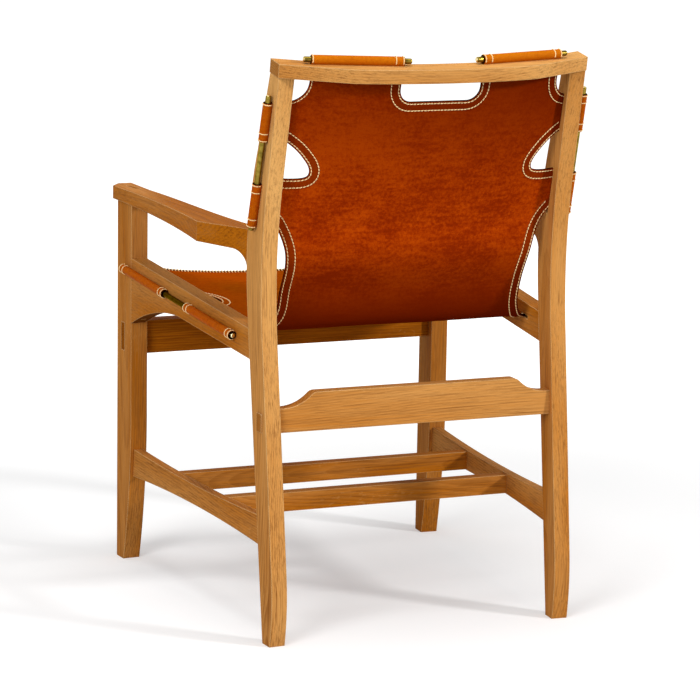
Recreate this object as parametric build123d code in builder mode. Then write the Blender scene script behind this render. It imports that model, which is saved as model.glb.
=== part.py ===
from build123d import *
import os
from math import cos, radians, sin, tan

# Sling armchair: an oak frame that carries one sheet of leather on six brass rods.
# Millimetres. +Z is up, the sitter faces -Y, and +X is the sitter's left.
# The origin is on the floor, under the middle of the chair's outer box.

# Side frames: flat, and turned in plan so that the chair is wider in front
frame_half_width = 274.2
toe_angle = 3.65
joint_clearance = 0.15
overrun = 5.0

# Front legs: their place ahead of the origin, and the taper at the foot
front_leg_place = 330.0
front_leg_depth = 59.5
front_leg_thickness = 29.5
leg_flare_top = 280.0
leg_flare_middle = 90.0
leg_flare_depth = 12.5
front_foot_depth = 29.0

# Rear posts: the front edge leans forward up to the waist, and to the rear above it
post_thickness = 26.0
post_foot_place = 262.5
post_foot_depth = 26.0
post_heel_height = 60.0
post_heel_depth = 32.5
post_heel_top = 120.0
post_heel_top_depth = 29.0
post_seat_height = 504.0
post_seat_lean = 66.8
post_waist_rise = 102.0
post_waist_lean = 4.9
post_bend_rise = 159.0
post_bend_reach = 35.0
post_top_rise = 117.4
post_top_reach = 40.3
post_top_spare = 17.6
post_low_drop = 54.0
post_low_depth = 49.0
post_waist_drop = 48.0
post_waist_depth = 52.7
post_bend_drop = 45.0
post_bend_depth = 36.5
post_top_depth = 32.0

# Top rail: a bar on the ends of the posts, bowed to the rear in its own tilted plane
rail_tilt = 9.6
rail_depth = 35.5
rail_height = 21.5
rail_setback = 13.6
rail_end_proud = 0.25
rail_kink_x = 151.0
rail_kink_bow = 41.2
rail_centre_rise = 12.3
rail_dowel_radius = 4.0
rail_dowel_length = 36.0
rail_dowel_spacing = 16.0
rail_dowel_depth = 12.0

# Arms: distances from the front end or ahead of the post, and from the side frame's face
arm_rise = 32.5
arm_overhang = 23.5
arm_front_inset = 10.3
arm_front_width = 23.0
arm_corner_length = 26.0
arm_corner_proud = 9.4
arm_waist_length = 197.0
arm_waist_proud = 14.1
arm_kink_gap = 97.3
arm_kink_proud = 40.8
arm_inner_shoulder_length = 95.0
arm_inner_shoulder_inset = 27.9
arm_inner_middle_length = 312.0
arm_inner_middle_inset = 22.9
arm_inner_rear_gap = 75.3
arm_inner_rear_inset = 21.3
arm_front_thickness = 21.0
arm_middle_thickness = 27.5
arm_rear_thickness = 33.8
arm_ear_radius = 30.0
arm_tenon_thickness = 10.0
arm_tenon_front_inset = 11.5
arm_tenon_back_inset = 5.0
arm_rear_tenon_inset = 8.0
arm_rear_tenon_thickness = 9.0
arm_rear_tenon_length = 20.0

# Seat side rails: they slope down to the rear, and a bracket arch meets the front leg
seat_rail_thickness = 26.0
seat_rail_front_rise = 19.4
seat_rail_rear_drop = 19.4
seat_rail_rear_depth = 47.0
seat_rail_middle_depth = 49.6
seat_rail_arch_length = 196.0
seat_rail_arch_middle_length = 82.0
seat_rail_arch_middle_depth = 73.9
seat_rail_arch_foot_depth = 110.4
seat_tenon_length = 24.0
seat_tenon_thickness = 9.0
seat_tenon_inset = 10.0

# Front apron and rear stretcher, with tenons that run through the legs
apron_setback = 43.5
apron_thickness = 28.0
apron_rise = 1.0
apron_height = 56.5
apron_tenon_inset = 4.5
apron_tenon_setback = 2.0
apron_tenon_thickness = 14.0
back_stretcher_setback = 36.8
back_stretcher_thickness = 20.0
back_stretcher_gap = 108.6
back_stretcher_height = 61.0
back_stretcher_end_drop = 23.0
back_stretcher_end_inset = 9.0
back_stretcher_ogee_length = 56.0
back_stretcher_cove_share = 0.82
back_tenon_setback = 0.5
back_tenon_bottom_inset = 2.0
back_tenon_top_inset = 6.6
back_tenon_thickness = 16.5
tenon_proud = 2.0

# Low stretchers: two along the sides, two across
side_stretcher_thickness = 15.0
side_stretcher_inset = 7.0
side_stretcher_bottom_end = 148.5
side_stretcher_end_height = 48.0
side_stretcher_top_dip = 6.7
side_stretcher_bottom_rise = 8.5
side_tenon_length = 20.0
side_tenon_thickness = 8.0
side_tenon_inset = 7.0
cross_stretcher_thickness = 20.0
cross_stretcher_rise = 9.3
cross_stretcher_height = 30.8
cross_stretcher_setback = 164.0
cross_stretcher_spacing = 181.0
cross_tenon_length = 9.0
cross_tenon_thickness = 8.0
cross_tenon_inset = 6.0

# Brass rods and the leather that is folded round them
rod_radius = 4.3
rod_end_round = 2.6
rod_gap = 0.3
leather_thickness = 2.4
leather_gap = 0.3
rod_overhang = 12.0
seat_rod_overhang = 4.0

# Rod lines on the side frames, measured from the waist, the bend, the leg, the post and the rail
post_rod_low_rise = 39.0
post_rod_low_setback = 29.7
post_rod_high_rise = 80.0
post_rod_high_setback = 22.3
seat_rod_front_setback = 33.5
seat_rod_front_drop = 20.9
seat_rod_rear_gap = 72.0
seat_rod_rear_drop = 21.9

# Loops: the first one's start along its rod line, lengths, and gaps between two loops
post_low_loop_start = 1.0
post_low_loop_length = 71.0
post_loop_gap = 69.0
post_high_loop_length = 62.0
seat_front_loop_start = 6.0
seat_front_loop_length = 179.0
seat_loop_gap = 89.0
seat_rear_loop_length = 178.0
top_loop_inner_x = 65.0
top_loop_end_inset = 49.6
top_rod_inner_setback = 9.0
top_rod_outer_setback = 0.0

# Leather sheet: its line at the sides, from the rods' near ends, its sag and its bow
sheet_front_setback = 4.0
sheet_edge_gap = 0.5
sheet_low_run = 21.0
sheet_low_rise = 5.9
sheet_bend_run = 29.0
sheet_bend_drop = 99.0
sheet_high_run = 4.5
sheet_high_drop = 49.0
sheet_front_sag = 19.0
sheet_bend_sag = 1.0
sheet_low_bow = 12.0
sheet_top_bow = 42.5
sag_power = 3
sheet_columns = 9
seat_rows = 6
bend_rows = 6
back_rows = 4

# Cut-outs in the sheet: depths below the top rail, gaps to the loops, insets from the posts
hand_hole_end_gap = 1.0
hand_hole_depth = 41.9
hand_hole_corner = 20.0
corner_cut_end_gap = 1.0
corner_cut_depth = 40.4
corner_cut_shoulder_depth = 14.4
side_hole_low_gap = 7.1
side_hole_high_gap = 2.9
side_hole_shoulder_rise = 32.5
side_hole_apex_inset = 43.7
side_hole_shoulder_inset = 31.2
side_hole_corner = 9.0
side_hole_apex_slope_share = 0.7
seat_hole_depth = 46.0
bend_hole_low_inset = 25.1
bend_hole_middle_inset = 29.1
bend_hole_high_inset = 24.1
bend_hole_low_share = 0.2
bend_hole_middle_share = 0.5
bend_hole_high_share = 0.83
bend_hole_top_share = 0.98

toe = radians(toe_angle)
left_side = Plane(
    origin=(frame_half_width, 0, 0),
    x_dir=(-sin(toe), cos(toe), 0),
    z_dir=(cos(toe), sin(toe), 0),
)
right_side = Plane(
    origin=(-frame_half_width, 0, 0),
    x_dir=(sin(toe), cos(toe), 0),
    z_dir=(-cos(toe), sin(toe), 0),
)


def along(first, second, place):
    """Height at a place on the straight line through two (place, height) points."""
    share = (place - first[0]) / (second[0] - first[0])
    return first[1] + (second[1] - first[1]) * share


def frame_x(y):
    """X of the left side frame's outer face at a Y."""
    return frame_half_width - y * tan(toe)


# Places and heights of the legs and posts, worked out from the sizes
front_leg_front = -front_leg_place
front_leg_back = front_leg_front + front_leg_depth
post_foot_front = post_foot_place
post_foot_back = post_foot_front + post_foot_depth
post_heel_back = post_foot_front + post_heel_depth
post_heel_top_back = post_foot_front + post_heel_top_depth
post_seat_front = post_foot_front - post_seat_lean
post_waist_height = post_seat_height + post_waist_rise
post_waist_front = post_seat_front - post_waist_lean
post_bend_height = post_waist_height + post_bend_rise
post_bend_front = post_waist_front + post_bend_reach
rail_seat_z = post_bend_height + post_top_rise
rail_seat_front = post_bend_front + post_top_reach
rail_seat_y = rail_seat_front + rail_setback
post_top_height = rail_seat_z + post_top_spare
post_top_front = along(
    (post_bend_height, post_bend_front), (rail_seat_z, rail_seat_front), post_top_height
)


def post_front_at(height):
    """Place of the rear post's front edge at a height below the seat."""
    return along((0, post_foot_front), (post_seat_height, post_seat_front), height)


post_back_low_height = post_seat_height - post_low_drop
post_back_low = post_front_at(post_back_low_height) + post_low_depth
post_back_waist_height = post_waist_height - post_waist_drop
post_back_waist = post_waist_front + post_waist_depth
post_back_bend_height = post_bend_height - post_bend_drop
post_back_bend = post_bend_front + post_bend_depth
post_back_top = along(
    (post_back_bend_height, post_back_bend),
    (rail_seat_z, rail_seat_front + post_top_depth),
    post_top_height,
)

# Top rail and arms
rail_half_length = frame_x(rail_seat_y) + rail_end_proud
rail_centre_bow = rail_kink_bow + rail_centre_rise
arm_top = post_waist_height + arm_rise
arm_middle_bottom = arm_top - arm_middle_thickness
arm_rear_bottom = arm_top - arm_rear_thickness
front_leg_top = arm_top - arm_front_thickness
arm_front = front_leg_front - arm_overhang
arm_front_outer = frame_x(arm_front) - arm_front_inset
arm_front_inner = arm_front_outer - arm_front_width
arm_corner_y = arm_front + arm_corner_length
arm_corner_x = frame_x(arm_corner_y) + arm_corner_proud
arm_waist_y = arm_front + arm_waist_length
arm_waist_x = frame_x(arm_waist_y) + arm_waist_proud
arm_kink_y = post_waist_front - arm_kink_gap
arm_kink_x = frame_x(arm_kink_y) + arm_kink_proud
arm_inner_shoulder_y = arm_front + arm_inner_shoulder_length
arm_inner_shoulder_x = frame_x(arm_inner_shoulder_y) - arm_inner_shoulder_inset
arm_inner_middle_y = arm_front + arm_inner_middle_length
arm_inner_middle_x = frame_x(arm_inner_middle_y) - arm_inner_middle_inset
arm_inner_rear_y = post_waist_front - arm_inner_rear_gap
arm_inner_rear_x = frame_x(arm_inner_rear_y) - arm_inner_rear_inset

# Seat rails
seat_rail_top_front = post_seat_height + seat_rail_front_rise
seat_rail_top_rear = post_seat_height - seat_rail_rear_drop
seat_rail_bottom_rear = seat_rail_top_rear - seat_rail_rear_depth
seat_rail_span = (front_leg_back, post_front_at(seat_rail_bottom_rear))


def seat_rail_top_at(place):
    """Height of the seat rail's upper edge."""
    front = (front_leg_back, seat_rail_top_front)
    return along(front, (seat_rail_span[1], seat_rail_top_rear), place)


seat_rail_arch_end = front_leg_back + seat_rail_arch_length
seat_rail_bottom_middle = seat_rail_top_at(seat_rail_arch_end) - seat_rail_middle_depth
seat_rail_arch_middle = front_leg_back + seat_rail_arch_middle_length
seat_rail_arch_middle_height = seat_rail_top_at(seat_rail_arch_middle) - seat_rail_arch_middle_depth
seat_rail_arch_foot = seat_rail_top_front - seat_rail_arch_foot_depth

# Apron and stretchers
apron_back = front_leg_front + apron_setback
apron_top = seat_rail_arch_foot + apron_rise
apron_bottom = apron_top - apron_height
back_stretcher_bottom = seat_rail_bottom_rear - back_stretcher_gap
back_stretcher_top = back_stretcher_bottom + back_stretcher_height
back_stretcher_end_top = back_stretcher_top - back_stretcher_end_drop
back_stretcher_middle = (back_stretcher_bottom + back_stretcher_end_top) / 2
back_stretcher_back = post_front_at(back_stretcher_middle) + back_stretcher_setback
back_stretcher_end_x = frame_x(back_stretcher_back) - post_thickness - back_stretcher_end_inset
back_stretcher_shoulder_x = back_stretcher_end_x - back_stretcher_ogee_length
side_stretcher_top_end = side_stretcher_bottom_end + side_stretcher_end_height
side_stretcher_top_middle = side_stretcher_top_end - side_stretcher_top_dip
side_stretcher_bottom_middle = side_stretcher_bottom_end + side_stretcher_bottom_rise
cross_stretcher_bottom = side_stretcher_bottom_end + cross_stretcher_rise
cross_stretcher_top = cross_stretcher_bottom + cross_stretcher_height
cross_stretcher_front_back = front_leg_back + cross_stretcher_setback
cross_stretcher_rear_back = cross_stretcher_front_back + cross_stretcher_spacing

# Rod lines, and the loops along them
post_rod_low_height = post_waist_height + post_rod_low_rise
post_rod_low_place = post_waist_front + post_rod_low_setback
post_rod_high_height = post_bend_height + post_rod_high_rise
post_rod_high_place = post_rod_high_setback + along(
    (post_bend_height, post_bend_front), (rail_seat_z, rail_seat_front), post_rod_high_height
)
seat_rod_front_place = front_leg_front + seat_rod_front_setback
seat_rod_front_height = seat_rail_top_at(seat_rod_front_place) - seat_rod_front_drop
seat_rod_rear_place = seat_rail_span[1] - seat_rod_rear_gap
seat_rod_rear_height = seat_rail_top_at(seat_rod_rear_place) - seat_rod_rear_drop
post_high_loop_start = post_low_loop_start + post_low_loop_length + post_loop_gap
seat_rear_loop_start = seat_front_loop_start + seat_front_loop_length + seat_loop_gap
top_loop_outer_x = rail_half_length - top_loop_end_inset

# Sheet
sheet_front_place = seat_rod_front_place + sheet_front_setback
sheet_low_place = seat_rod_rear_place + sheet_low_run
sheet_low_height = seat_rod_rear_height + sheet_low_rise
sheet_bend_place = post_rod_low_place - sheet_bend_run
sheet_bend_height = post_rod_low_height - sheet_bend_drop
sheet_high_place = post_rod_low_place - sheet_high_run
sheet_high_height = post_rod_low_height - sheet_high_drop


def side_box(start, end, bottom, top, depth, thickness, ease=0.0):
    """Box along the left side frame, its outer face at a depth inside the frame's face."""
    centre = left_side.from_local_coords(
        ((start + end) / 2, (bottom + top) / 2, -depth - thickness / 2)
    )
    place = Plane(origin=centre, x_dir=left_side.x_dir, z_dir=left_side.z_dir)
    size = (end - start + ease, top - bottom + 2 * ease, thickness + 2 * ease)
    return place * Box(*size, mode=Mode.PRIVATE)


def cross_box(front, back, bottom, top, half_length, ease=0.0):
    """Box across the chair, from one side to the other."""
    centre = Pos(0, (front + back) / 2, (bottom + top) / 2)
    size = (2 * half_length, back - front + 2 * ease, top - bottom + 2 * ease)
    return centre * Box(*size, mode=Mode.PRIVATE)


def write(part, name):
    """Label a piece and write it to its own file."""
    part.label = name
    export_step(part, os.path.join("parts", name + ".step"))


os.makedirs("parts", exist_ok=True)

# Rear post outline, in the plane of the left side frame
rail_plane = Plane(
    origin=(0, rail_seat_y, rail_seat_z),
    x_dir=(1, 0, 0),
    z_dir=(0, sin(radians(rail_tilt)), cos(radians(rail_tilt))),
)
with BuildSketch(left_side) as post_outline:
    with BuildLine():
        Line((post_foot_front, 0), (post_seat_front, post_seat_height))
        ThreePointArc(
            (post_seat_front, post_seat_height),
            (post_waist_front, post_waist_height),
            (post_bend_front, post_bend_height),
        )
        Line((post_bend_front, post_bend_height), (post_top_front, post_top_height))
        Line((post_top_front, post_top_height), (post_back_top, post_top_height))
        Line((post_back_top, post_top_height), (post_back_bend, post_back_bend_height))
        ThreePointArc(
            (post_back_bend, post_back_bend_height),
            (post_back_waist, post_back_waist_height),
            (post_back_low, post_back_low_height),
        )
        Line((post_back_low, post_back_low_height), (post_heel_top_back, post_heel_top))
        ThreePointArc(
            (post_heel_top_back, post_heel_top),
            (post_heel_back, post_heel_height),
            (post_foot_back, 0),
        )
        Line((post_foot_back, 0), (post_foot_front, 0))
    make_face()
with BuildPart() as post_blank:
    extrude(post_outline.sketch, amount=-post_thickness)
    split(bisect_by=rail_plane, keep=Keep.BOTTOM)

# Front leg outline
with BuildSketch(left_side) as leg_outline:
    with BuildLine():
        Line((front_leg_front, 0), (front_leg_front, front_leg_top))
        Line((front_leg_front, front_leg_top), (front_leg_back, front_leg_top))
        Line((front_leg_back, front_leg_top), (front_leg_back, leg_flare_top))
        ThreePointArc(
            (front_leg_back, leg_flare_top),
            (front_leg_back - leg_flare_depth, leg_flare_middle),
            (front_leg_front + front_foot_depth, 0),
        )
        Line((front_leg_front + front_foot_depth, 0), (front_leg_front, 0))
    make_face()
with BuildPart() as leg_blank:
    extrude(leg_outline.sketch, amount=-front_leg_thickness)

# Tenons that end inside the post or the leg

def seat_rail_bottom_at(place):
    """Height of the straight part of the seat rail's lower edge."""
    low = (seat_rail_span[1], seat_rail_bottom_rear)
    return along((seat_rail_arch_end, seat_rail_bottom_middle), low, place)


def seat_rear_tenon(ease=0.0):
    """Tenon of the seat rail in the rear post."""
    return side_box(
        seat_rail_span[1] - seat_tenon_length,
        seat_rail_span[1] + seat_tenon_length,
        seat_rail_bottom_rear + seat_tenon_inset,
        seat_rail_top_rear - seat_tenon_inset,
        (seat_rail_thickness - seat_tenon_thickness) / 2,
        seat_tenon_thickness,
        ease,
    )


def seat_front_tenon(ease=0.0):
    """Tenon of the seat rail in the front leg, below the leather's slot."""
    return side_box(
        front_leg_back - seat_tenon_length,
        front_leg_back + seat_tenon_length,
        seat_rail_arch_foot + seat_tenon_inset,
        seat_rod_front_height - 2 * seat_tenon_inset,
        (seat_rail_thickness - seat_tenon_thickness) / 2,
        seat_tenon_thickness,
        ease,
    )


def side_rear_tenon(ease=0.0):
    """Tenon of the low side stretcher in the rear post."""
    middle = (side_stretcher_bottom_end + side_stretcher_top_end) / 2
    return side_box(
        post_front_at(middle) - side_tenon_length,
        post_front_at(middle) + side_tenon_length,
        side_stretcher_bottom_end + side_tenon_inset,
        side_stretcher_top_end - side_tenon_inset,
        side_stretcher_inset + (side_stretcher_thickness - side_tenon_thickness) / 2,
        side_tenon_thickness,
        ease,
    )


def side_front_tenon(ease=0.0):
    """Tenon of the low side stretcher in the front leg."""
    return side_box(
        front_leg_back - side_tenon_length - leg_flare_depth,
        front_leg_back + leg_flare_depth,
        side_stretcher_bottom_end + side_tenon_inset,
        side_stretcher_top_end - side_tenon_inset,
        side_stretcher_inset + (side_stretcher_thickness - side_tenon_thickness) / 2,
        side_tenon_thickness,
        ease,
    )


def arm_rear_tenon(ease=0.0):
    """Tenon of the arm in the rear post."""
    return side_box(
        post_waist_front - arm_rear_tenon_length,
        post_waist_front + arm_rear_tenon_length,
        arm_rear_bottom + arm_rear_tenon_inset,
        arm_top - arm_rear_tenon_inset,
        (post_thickness - arm_rear_tenon_thickness) / 2,
        arm_rear_tenon_thickness,
        ease,
    )


def leg_top_tenon(ease=0.0):
    """Tenon on the front leg, which shows in the top of the arm."""
    return side_box(
        front_leg_front + arm_tenon_front_inset,
        front_leg_back - arm_tenon_back_inset,
        front_leg_top - overrun,
        arm_top,
        (front_leg_thickness - arm_tenon_thickness) / 2,
        arm_tenon_thickness,
        ease,
    )


def apron_tenon(ease=0.0):
    """Through tenon of the front apron, as long as the apron and both legs."""
    front = apron_back - apron_thickness + apron_tenon_setback
    return cross_box(
        front,
        front + apron_tenon_thickness,
        apron_bottom + apron_tenon_inset,
        apron_top - apron_tenon_inset,
        frame_half_width + 2 * front_leg_thickness,
        ease,
    )


def back_stretcher_tenon(ease=0.0):
    """Through tenon of the rear stretcher, as long as the stretcher and both posts."""
    back = back_stretcher_back - back_tenon_setback
    return cross_box(
        back - back_tenon_thickness,
        back,
        back_stretcher_bottom + back_tenon_bottom_inset,
        back_stretcher_end_top - back_tenon_top_inset,
        frame_half_width + 2 * post_thickness,
        ease,
    )


def cross_tenon(back, ease=0.0):
    """Blind tenons of a low cross stretcher, as one bar that ends inside the side stretchers."""
    spare = (cross_stretcher_thickness - cross_tenon_thickness) / 2
    bar = cross_box(
        back - cross_stretcher_thickness + spare,
        back - spare,
        cross_stretcher_bottom + cross_tenon_inset,
        cross_stretcher_top - cross_tenon_inset,
        frame_half_width,
        ease,
    )
    reach = ease + cross_tenon_length - side_stretcher_inset - side_stretcher_thickness
    for side in (left_side, right_side):
        bar = split(bar, bisect_by=side.offset(reach), keep=Keep.BOTTOM, mode=Mode.PRIVATE)
    return bar


# Rod lines and the frames of the loops
slot_height = 2 * leather_thickness + 2 * leather_gap
loop_inner_radius = rod_radius + rod_gap
loop_outer_radius = loop_inner_radius + leather_thickness
rod_standoff = loop_outer_radius


def side_line_plane(first, second, distance):
    """Plane square to a rod line on the left side, its local y pointing out of the frame."""
    start = left_side.from_local_coords((first[0], first[1], rod_standoff))
    end = left_side.from_local_coords((second[0], second[1], rod_standoff))
    direction = (end - start).normalized()
    return Plane(
        origin=start + direction * distance,
        x_dir=left_side.z_dir.cross(direction),
        z_dir=direction,
    )


post_line = (
    (post_rod_low_place, post_rod_low_height),
    (post_rod_high_place, post_rod_high_height),
)
seat_line = (
    (seat_rod_front_place, seat_rod_front_height),
    (seat_rod_rear_place, seat_rod_rear_height),
)


def rail_centre_bow_at(x):
    """Bow of the top rail's centre line, in its own plane, at a distance from the middle."""
    if x > rail_kink_x:
        share = (rail_half_length - x) / (rail_half_length - rail_kink_x)
        return rail_kink_bow * share
    rise = rail_centre_bow - rail_kink_bow
    return rail_centre_bow - rise * (x / rail_kink_x) ** 2


top_rod_inner = (top_loop_inner_x, rail_centre_bow_at(top_loop_inner_x) - top_rod_inner_setback)
top_rod_outer = (top_loop_outer_x, rail_centre_bow_at(top_loop_outer_x) - top_rod_outer_setback)


def top_line_plane(distance):
    """Plane square to the left top rod, its local y pointing up out of the rail."""
    lift = rail_height + rod_standoff
    start = rail_plane.from_local_coords((top_rod_inner[0], top_rod_inner[1], lift))
    end = rail_plane.from_local_coords((top_rod_outer[0], top_rod_outer[1], lift))
    direction = (end - start).normalized()
    return Plane(
        origin=start + direction * distance,
        x_dir=rail_plane.z_dir.cross(direction),
        z_dir=direction,
    )


top_loop_length = (Vector(*top_rod_outer) - Vector(*top_rod_inner)).length


def slot(place, length, depth, ease=0.0):
    """Slot for the two layers of a loop, from its rod down through the wood."""
    block = Box(
        slot_height + 2 * ease,
        depth + rod_standoff + overrun,
        length + 2 * leather_gap,
        align=(Align.CENTER, Align.MAX, Align.MIN),
        mode=Mode.PRIVATE,
    )
    return place.offset(-leather_gap) * block


def loop(place, length, neck):
    """Leather folded round a rod, with its two layers laid together behind it."""
    with BuildPart() as folded:
        with BuildSketch(place):
            Circle(loop_outer_radius)
            with Locations((0, -(neck + rod_standoff) / 2)):
                Rectangle(2 * leather_thickness, neck + rod_standoff)
            Circle(loop_inner_radius, mode=Mode.SUBTRACT)
        extrude(amount=length)
    return folded.part


def rod(place, length):
    """Brass rod with rounded ends."""
    with BuildPart() as bar:
        with BuildSketch(place):
            Circle(rod_radius)
        extrude(amount=length)
        fillet(bar.edges().filter_by(GeomType.CIRCLE), radius=rod_end_round)
    return bar.part


post_slots = [
    slot(side_line_plane(*post_line, post_low_loop_start), post_low_loop_length, post_thickness),
    slot(side_line_plane(*post_line, post_high_loop_start), post_high_loop_length, post_thickness),
]
seat_slots = [
    slot(side_line_plane(*seat_line, seat_front_loop_start), seat_front_loop_length, front_leg_thickness),
    slot(side_line_plane(*seat_line, seat_rear_loop_start), seat_rear_loop_length, seat_rail_thickness),
]
top_slot = slot(top_line_plane(0), top_loop_length, rail_height)

# Dowels between the posts and the top rail
post_top_depth = rail_plane.to_local_coords(
    left_side.from_local_coords((rail_seat_y, rail_seat_z, -post_thickness / 2))
)
dowel_plane = rail_plane.offset(rail_dowel_depth - rail_dowel_length)
dowel_places = [
    (post_top_depth.X, post_top_depth.Y - rail_dowel_spacing / 2),
    (post_top_depth.X, post_top_depth.Y + rail_dowel_spacing / 2),
    (-post_top_depth.X, post_top_depth.Y - rail_dowel_spacing / 2),
    (-post_top_depth.X, post_top_depth.Y + rail_dowel_spacing / 2),
]
with BuildPart() as rail_dowels:
    with BuildSketch(dowel_plane):
        with Locations(*dowel_places):
            Circle(rail_dowel_radius)
    extrude(amount=rail_dowel_length)
write(rail_dowels.part, "top_rail_dowels")
with BuildPart() as dowel_holes:
    with BuildSketch(dowel_plane.offset(-joint_clearance)):
        with Locations(*dowel_places):
            Circle(rail_dowel_radius + joint_clearance)
    extrude(amount=rail_dowel_length + 2 * joint_clearance)

# Rear posts
with BuildPart() as rear_post_left:
    add(post_blank.part)
    add(seat_rear_tenon(joint_clearance), mode=Mode.SUBTRACT)
    add(side_rear_tenon(joint_clearance), mode=Mode.SUBTRACT)
    add(arm_rear_tenon(joint_clearance), mode=Mode.SUBTRACT)
    add(back_stretcher_tenon(joint_clearance), mode=Mode.SUBTRACT)
    add(dowel_holes.part, mode=Mode.SUBTRACT)
    for cut in post_slots:
        add(cut, mode=Mode.SUBTRACT)
write(rear_post_left.part, "rear_post_left")
with BuildPart() as rear_post_right:
    mirror(rear_post_left.part, about=Plane.YZ)
write(rear_post_right.part, "rear_post_right")

# Front legs
with BuildPart() as front_leg_left:
    add(leg_blank.part)
    add(leg_top_tenon())
    add(seat_front_tenon(joint_clearance), mode=Mode.SUBTRACT)
    add(side_front_tenon(joint_clearance), mode=Mode.SUBTRACT)
    add(apron_tenon(joint_clearance), mode=Mode.SUBTRACT)
    add(seat_slots[0], mode=Mode.SUBTRACT)
write(front_leg_left.part, "front_leg_left")
with BuildPart() as front_leg_right:
    mirror(front_leg_left.part, about=Plane.YZ)
write(front_leg_right.part, "front_leg_right")

# Top rail: the centre line is offset to both edges, and the leather's slots are cut through
rail_end_y = rail_centre_bow_at(rail_half_length)
with BuildPart() as top_rail:
    with BuildSketch(rail_plane):
        with BuildLine():
            for shift in (-rail_depth / 2, rail_depth / 2):
                Line((-rail_half_length, rail_end_y + shift), (-rail_kink_x, rail_kink_bow + shift))
                ThreePointArc(
                    (-rail_kink_x, rail_kink_bow + shift),
                    (0, rail_centre_bow + shift),
                    (rail_kink_x, rail_kink_bow + shift),
                )
                Line((rail_kink_x, rail_kink_bow + shift), (rail_half_length, rail_end_y + shift))
            for end in (-rail_half_length, rail_half_length):
                Line((end, rail_end_y - rail_depth / 2), (end, rail_end_y + rail_depth / 2))
        make_face()
    extrude(amount=rail_height)
    add(top_slot, mode=Mode.SUBTRACT)
    add(mirror(top_slot, about=Plane.YZ, mode=Mode.PRIVATE), mode=Mode.SUBTRACT)
    add(dowel_holes.part, mode=Mode.SUBTRACT)
write(top_rail.part, "top_rail")

# Arms: the plan outline and the side outline cut each other, and the post trims the end
post_corner = left_side.from_local_coords((post_waist_front, arm_top, 0))
post_inner = left_side.from_local_coords((post_waist_front, arm_top, -post_thickness))
beyond_corner = left_side.from_local_coords((post_waist_front + overrun, arm_top, 0))
beyond_inner = left_side.from_local_coords((post_waist_front + overrun, arm_top, -post_thickness))
with BuildPart() as arm_left:
    with BuildSketch(Plane.XY.offset(arm_rear_bottom - arm_ear_radius)):
        with BuildLine():
            Line((arm_front_inner, arm_front), (arm_front_outer, arm_front))
            Line((arm_front_outer, arm_front), (arm_corner_x, arm_corner_y))
            ThreePointArc(
                (arm_corner_x, arm_corner_y),
                (arm_waist_x, arm_waist_y),
                (arm_kink_x, arm_kink_y),
            )
            Line((arm_kink_x, arm_kink_y), (post_corner.X, post_corner.Y))
            Line((post_corner.X, post_corner.Y), (beyond_corner.X, beyond_corner.Y))
            Line((beyond_corner.X, beyond_corner.Y), (beyond_inner.X, beyond_inner.Y))
            Line((beyond_inner.X, beyond_inner.Y), (post_inner.X, post_inner.Y))
            Spline(
                (post_inner.X, post_inner.Y),
                (arm_inner_rear_x, arm_inner_rear_y),
                (arm_inner_middle_x, arm_inner_middle_y),
                (arm_inner_shoulder_x, arm_inner_shoulder_y),
            )
            Line((arm_inner_shoulder_x, arm_inner_shoulder_y), (arm_front_inner, arm_front))
        make_face()
    extrude(amount=arm_top - arm_rear_bottom + arm_ear_radius)
    with BuildSketch(Plane.YZ):
        with BuildLine():
            ear = post_waist_front - arm_ear_radius
            Line((arm_front, arm_top), (arm_front, front_leg_top))
            ThreePointArc(
                (arm_front, front_leg_top),
                (arm_inner_middle_y, arm_middle_bottom),
                (ear, arm_rear_bottom),
            )
            RadiusArc(
                (ear, arm_rear_bottom),
                (post_waist_front, arm_rear_bottom - arm_ear_radius),
                arm_ear_radius,
            )
            Line(
                (post_waist_front, arm_rear_bottom - arm_ear_radius),
                (post_waist_front + overrun, arm_rear_bottom - arm_ear_radius),
            )
            Line(
                (post_waist_front + overrun, arm_rear_bottom - arm_ear_radius),
                (post_waist_front + overrun, arm_top),
            )
            Line((post_waist_front + overrun, arm_top), (arm_front, arm_top))
        make_face()
    extrude(amount=arm_kink_x + overrun, mode=Mode.INTERSECT)
    add(post_blank.part, mode=Mode.SUBTRACT)
    add(leg_blank.part, mode=Mode.SUBTRACT)
    add(arm_rear_tenon())
    add(leg_top_tenon(joint_clearance), mode=Mode.SUBTRACT)
write(arm_left.part, "arm_left")
with BuildPart() as arm_right:
    mirror(arm_left.part, about=Plane.YZ)
write(arm_right.part, "arm_right")

# Seat side rails
with BuildPart() as seat_rail_left:
    with BuildSketch(left_side):
        with BuildLine():
            rear = post_front_at(seat_rail_bottom_rear) + overrun
            front = front_leg_back
            Line((front, seat_rail_arch_foot), (front, seat_rail_top_front))
            Line((front, seat_rail_top_front), (rear, seat_rail_top_at(rear)))
            Line((rear, seat_rail_top_at(rear)), (rear, seat_rail_bottom_at(rear)))
            Line((rear, seat_rail_bottom_at(rear)), (seat_rail_arch_end, seat_rail_bottom_middle))
            ThreePointArc(
                (seat_rail_arch_end, seat_rail_bottom_middle),
                (seat_rail_arch_middle, seat_rail_arch_middle_height),
                (front, seat_rail_arch_foot),
            )
        make_face()
    extrude(amount=-seat_rail_thickness)
    add(post_blank.part, mode=Mode.SUBTRACT)
    add(seat_rear_tenon())
    add(seat_front_tenon())
    for cut in seat_slots:
        add(cut, mode=Mode.SUBTRACT)
write(seat_rail_left.part, "seat_rail_left")
with BuildPart() as seat_rail_right:
    mirror(seat_rail_left.part, about=Plane.YZ)
write(seat_rail_right.part, "seat_rail_right")

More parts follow.
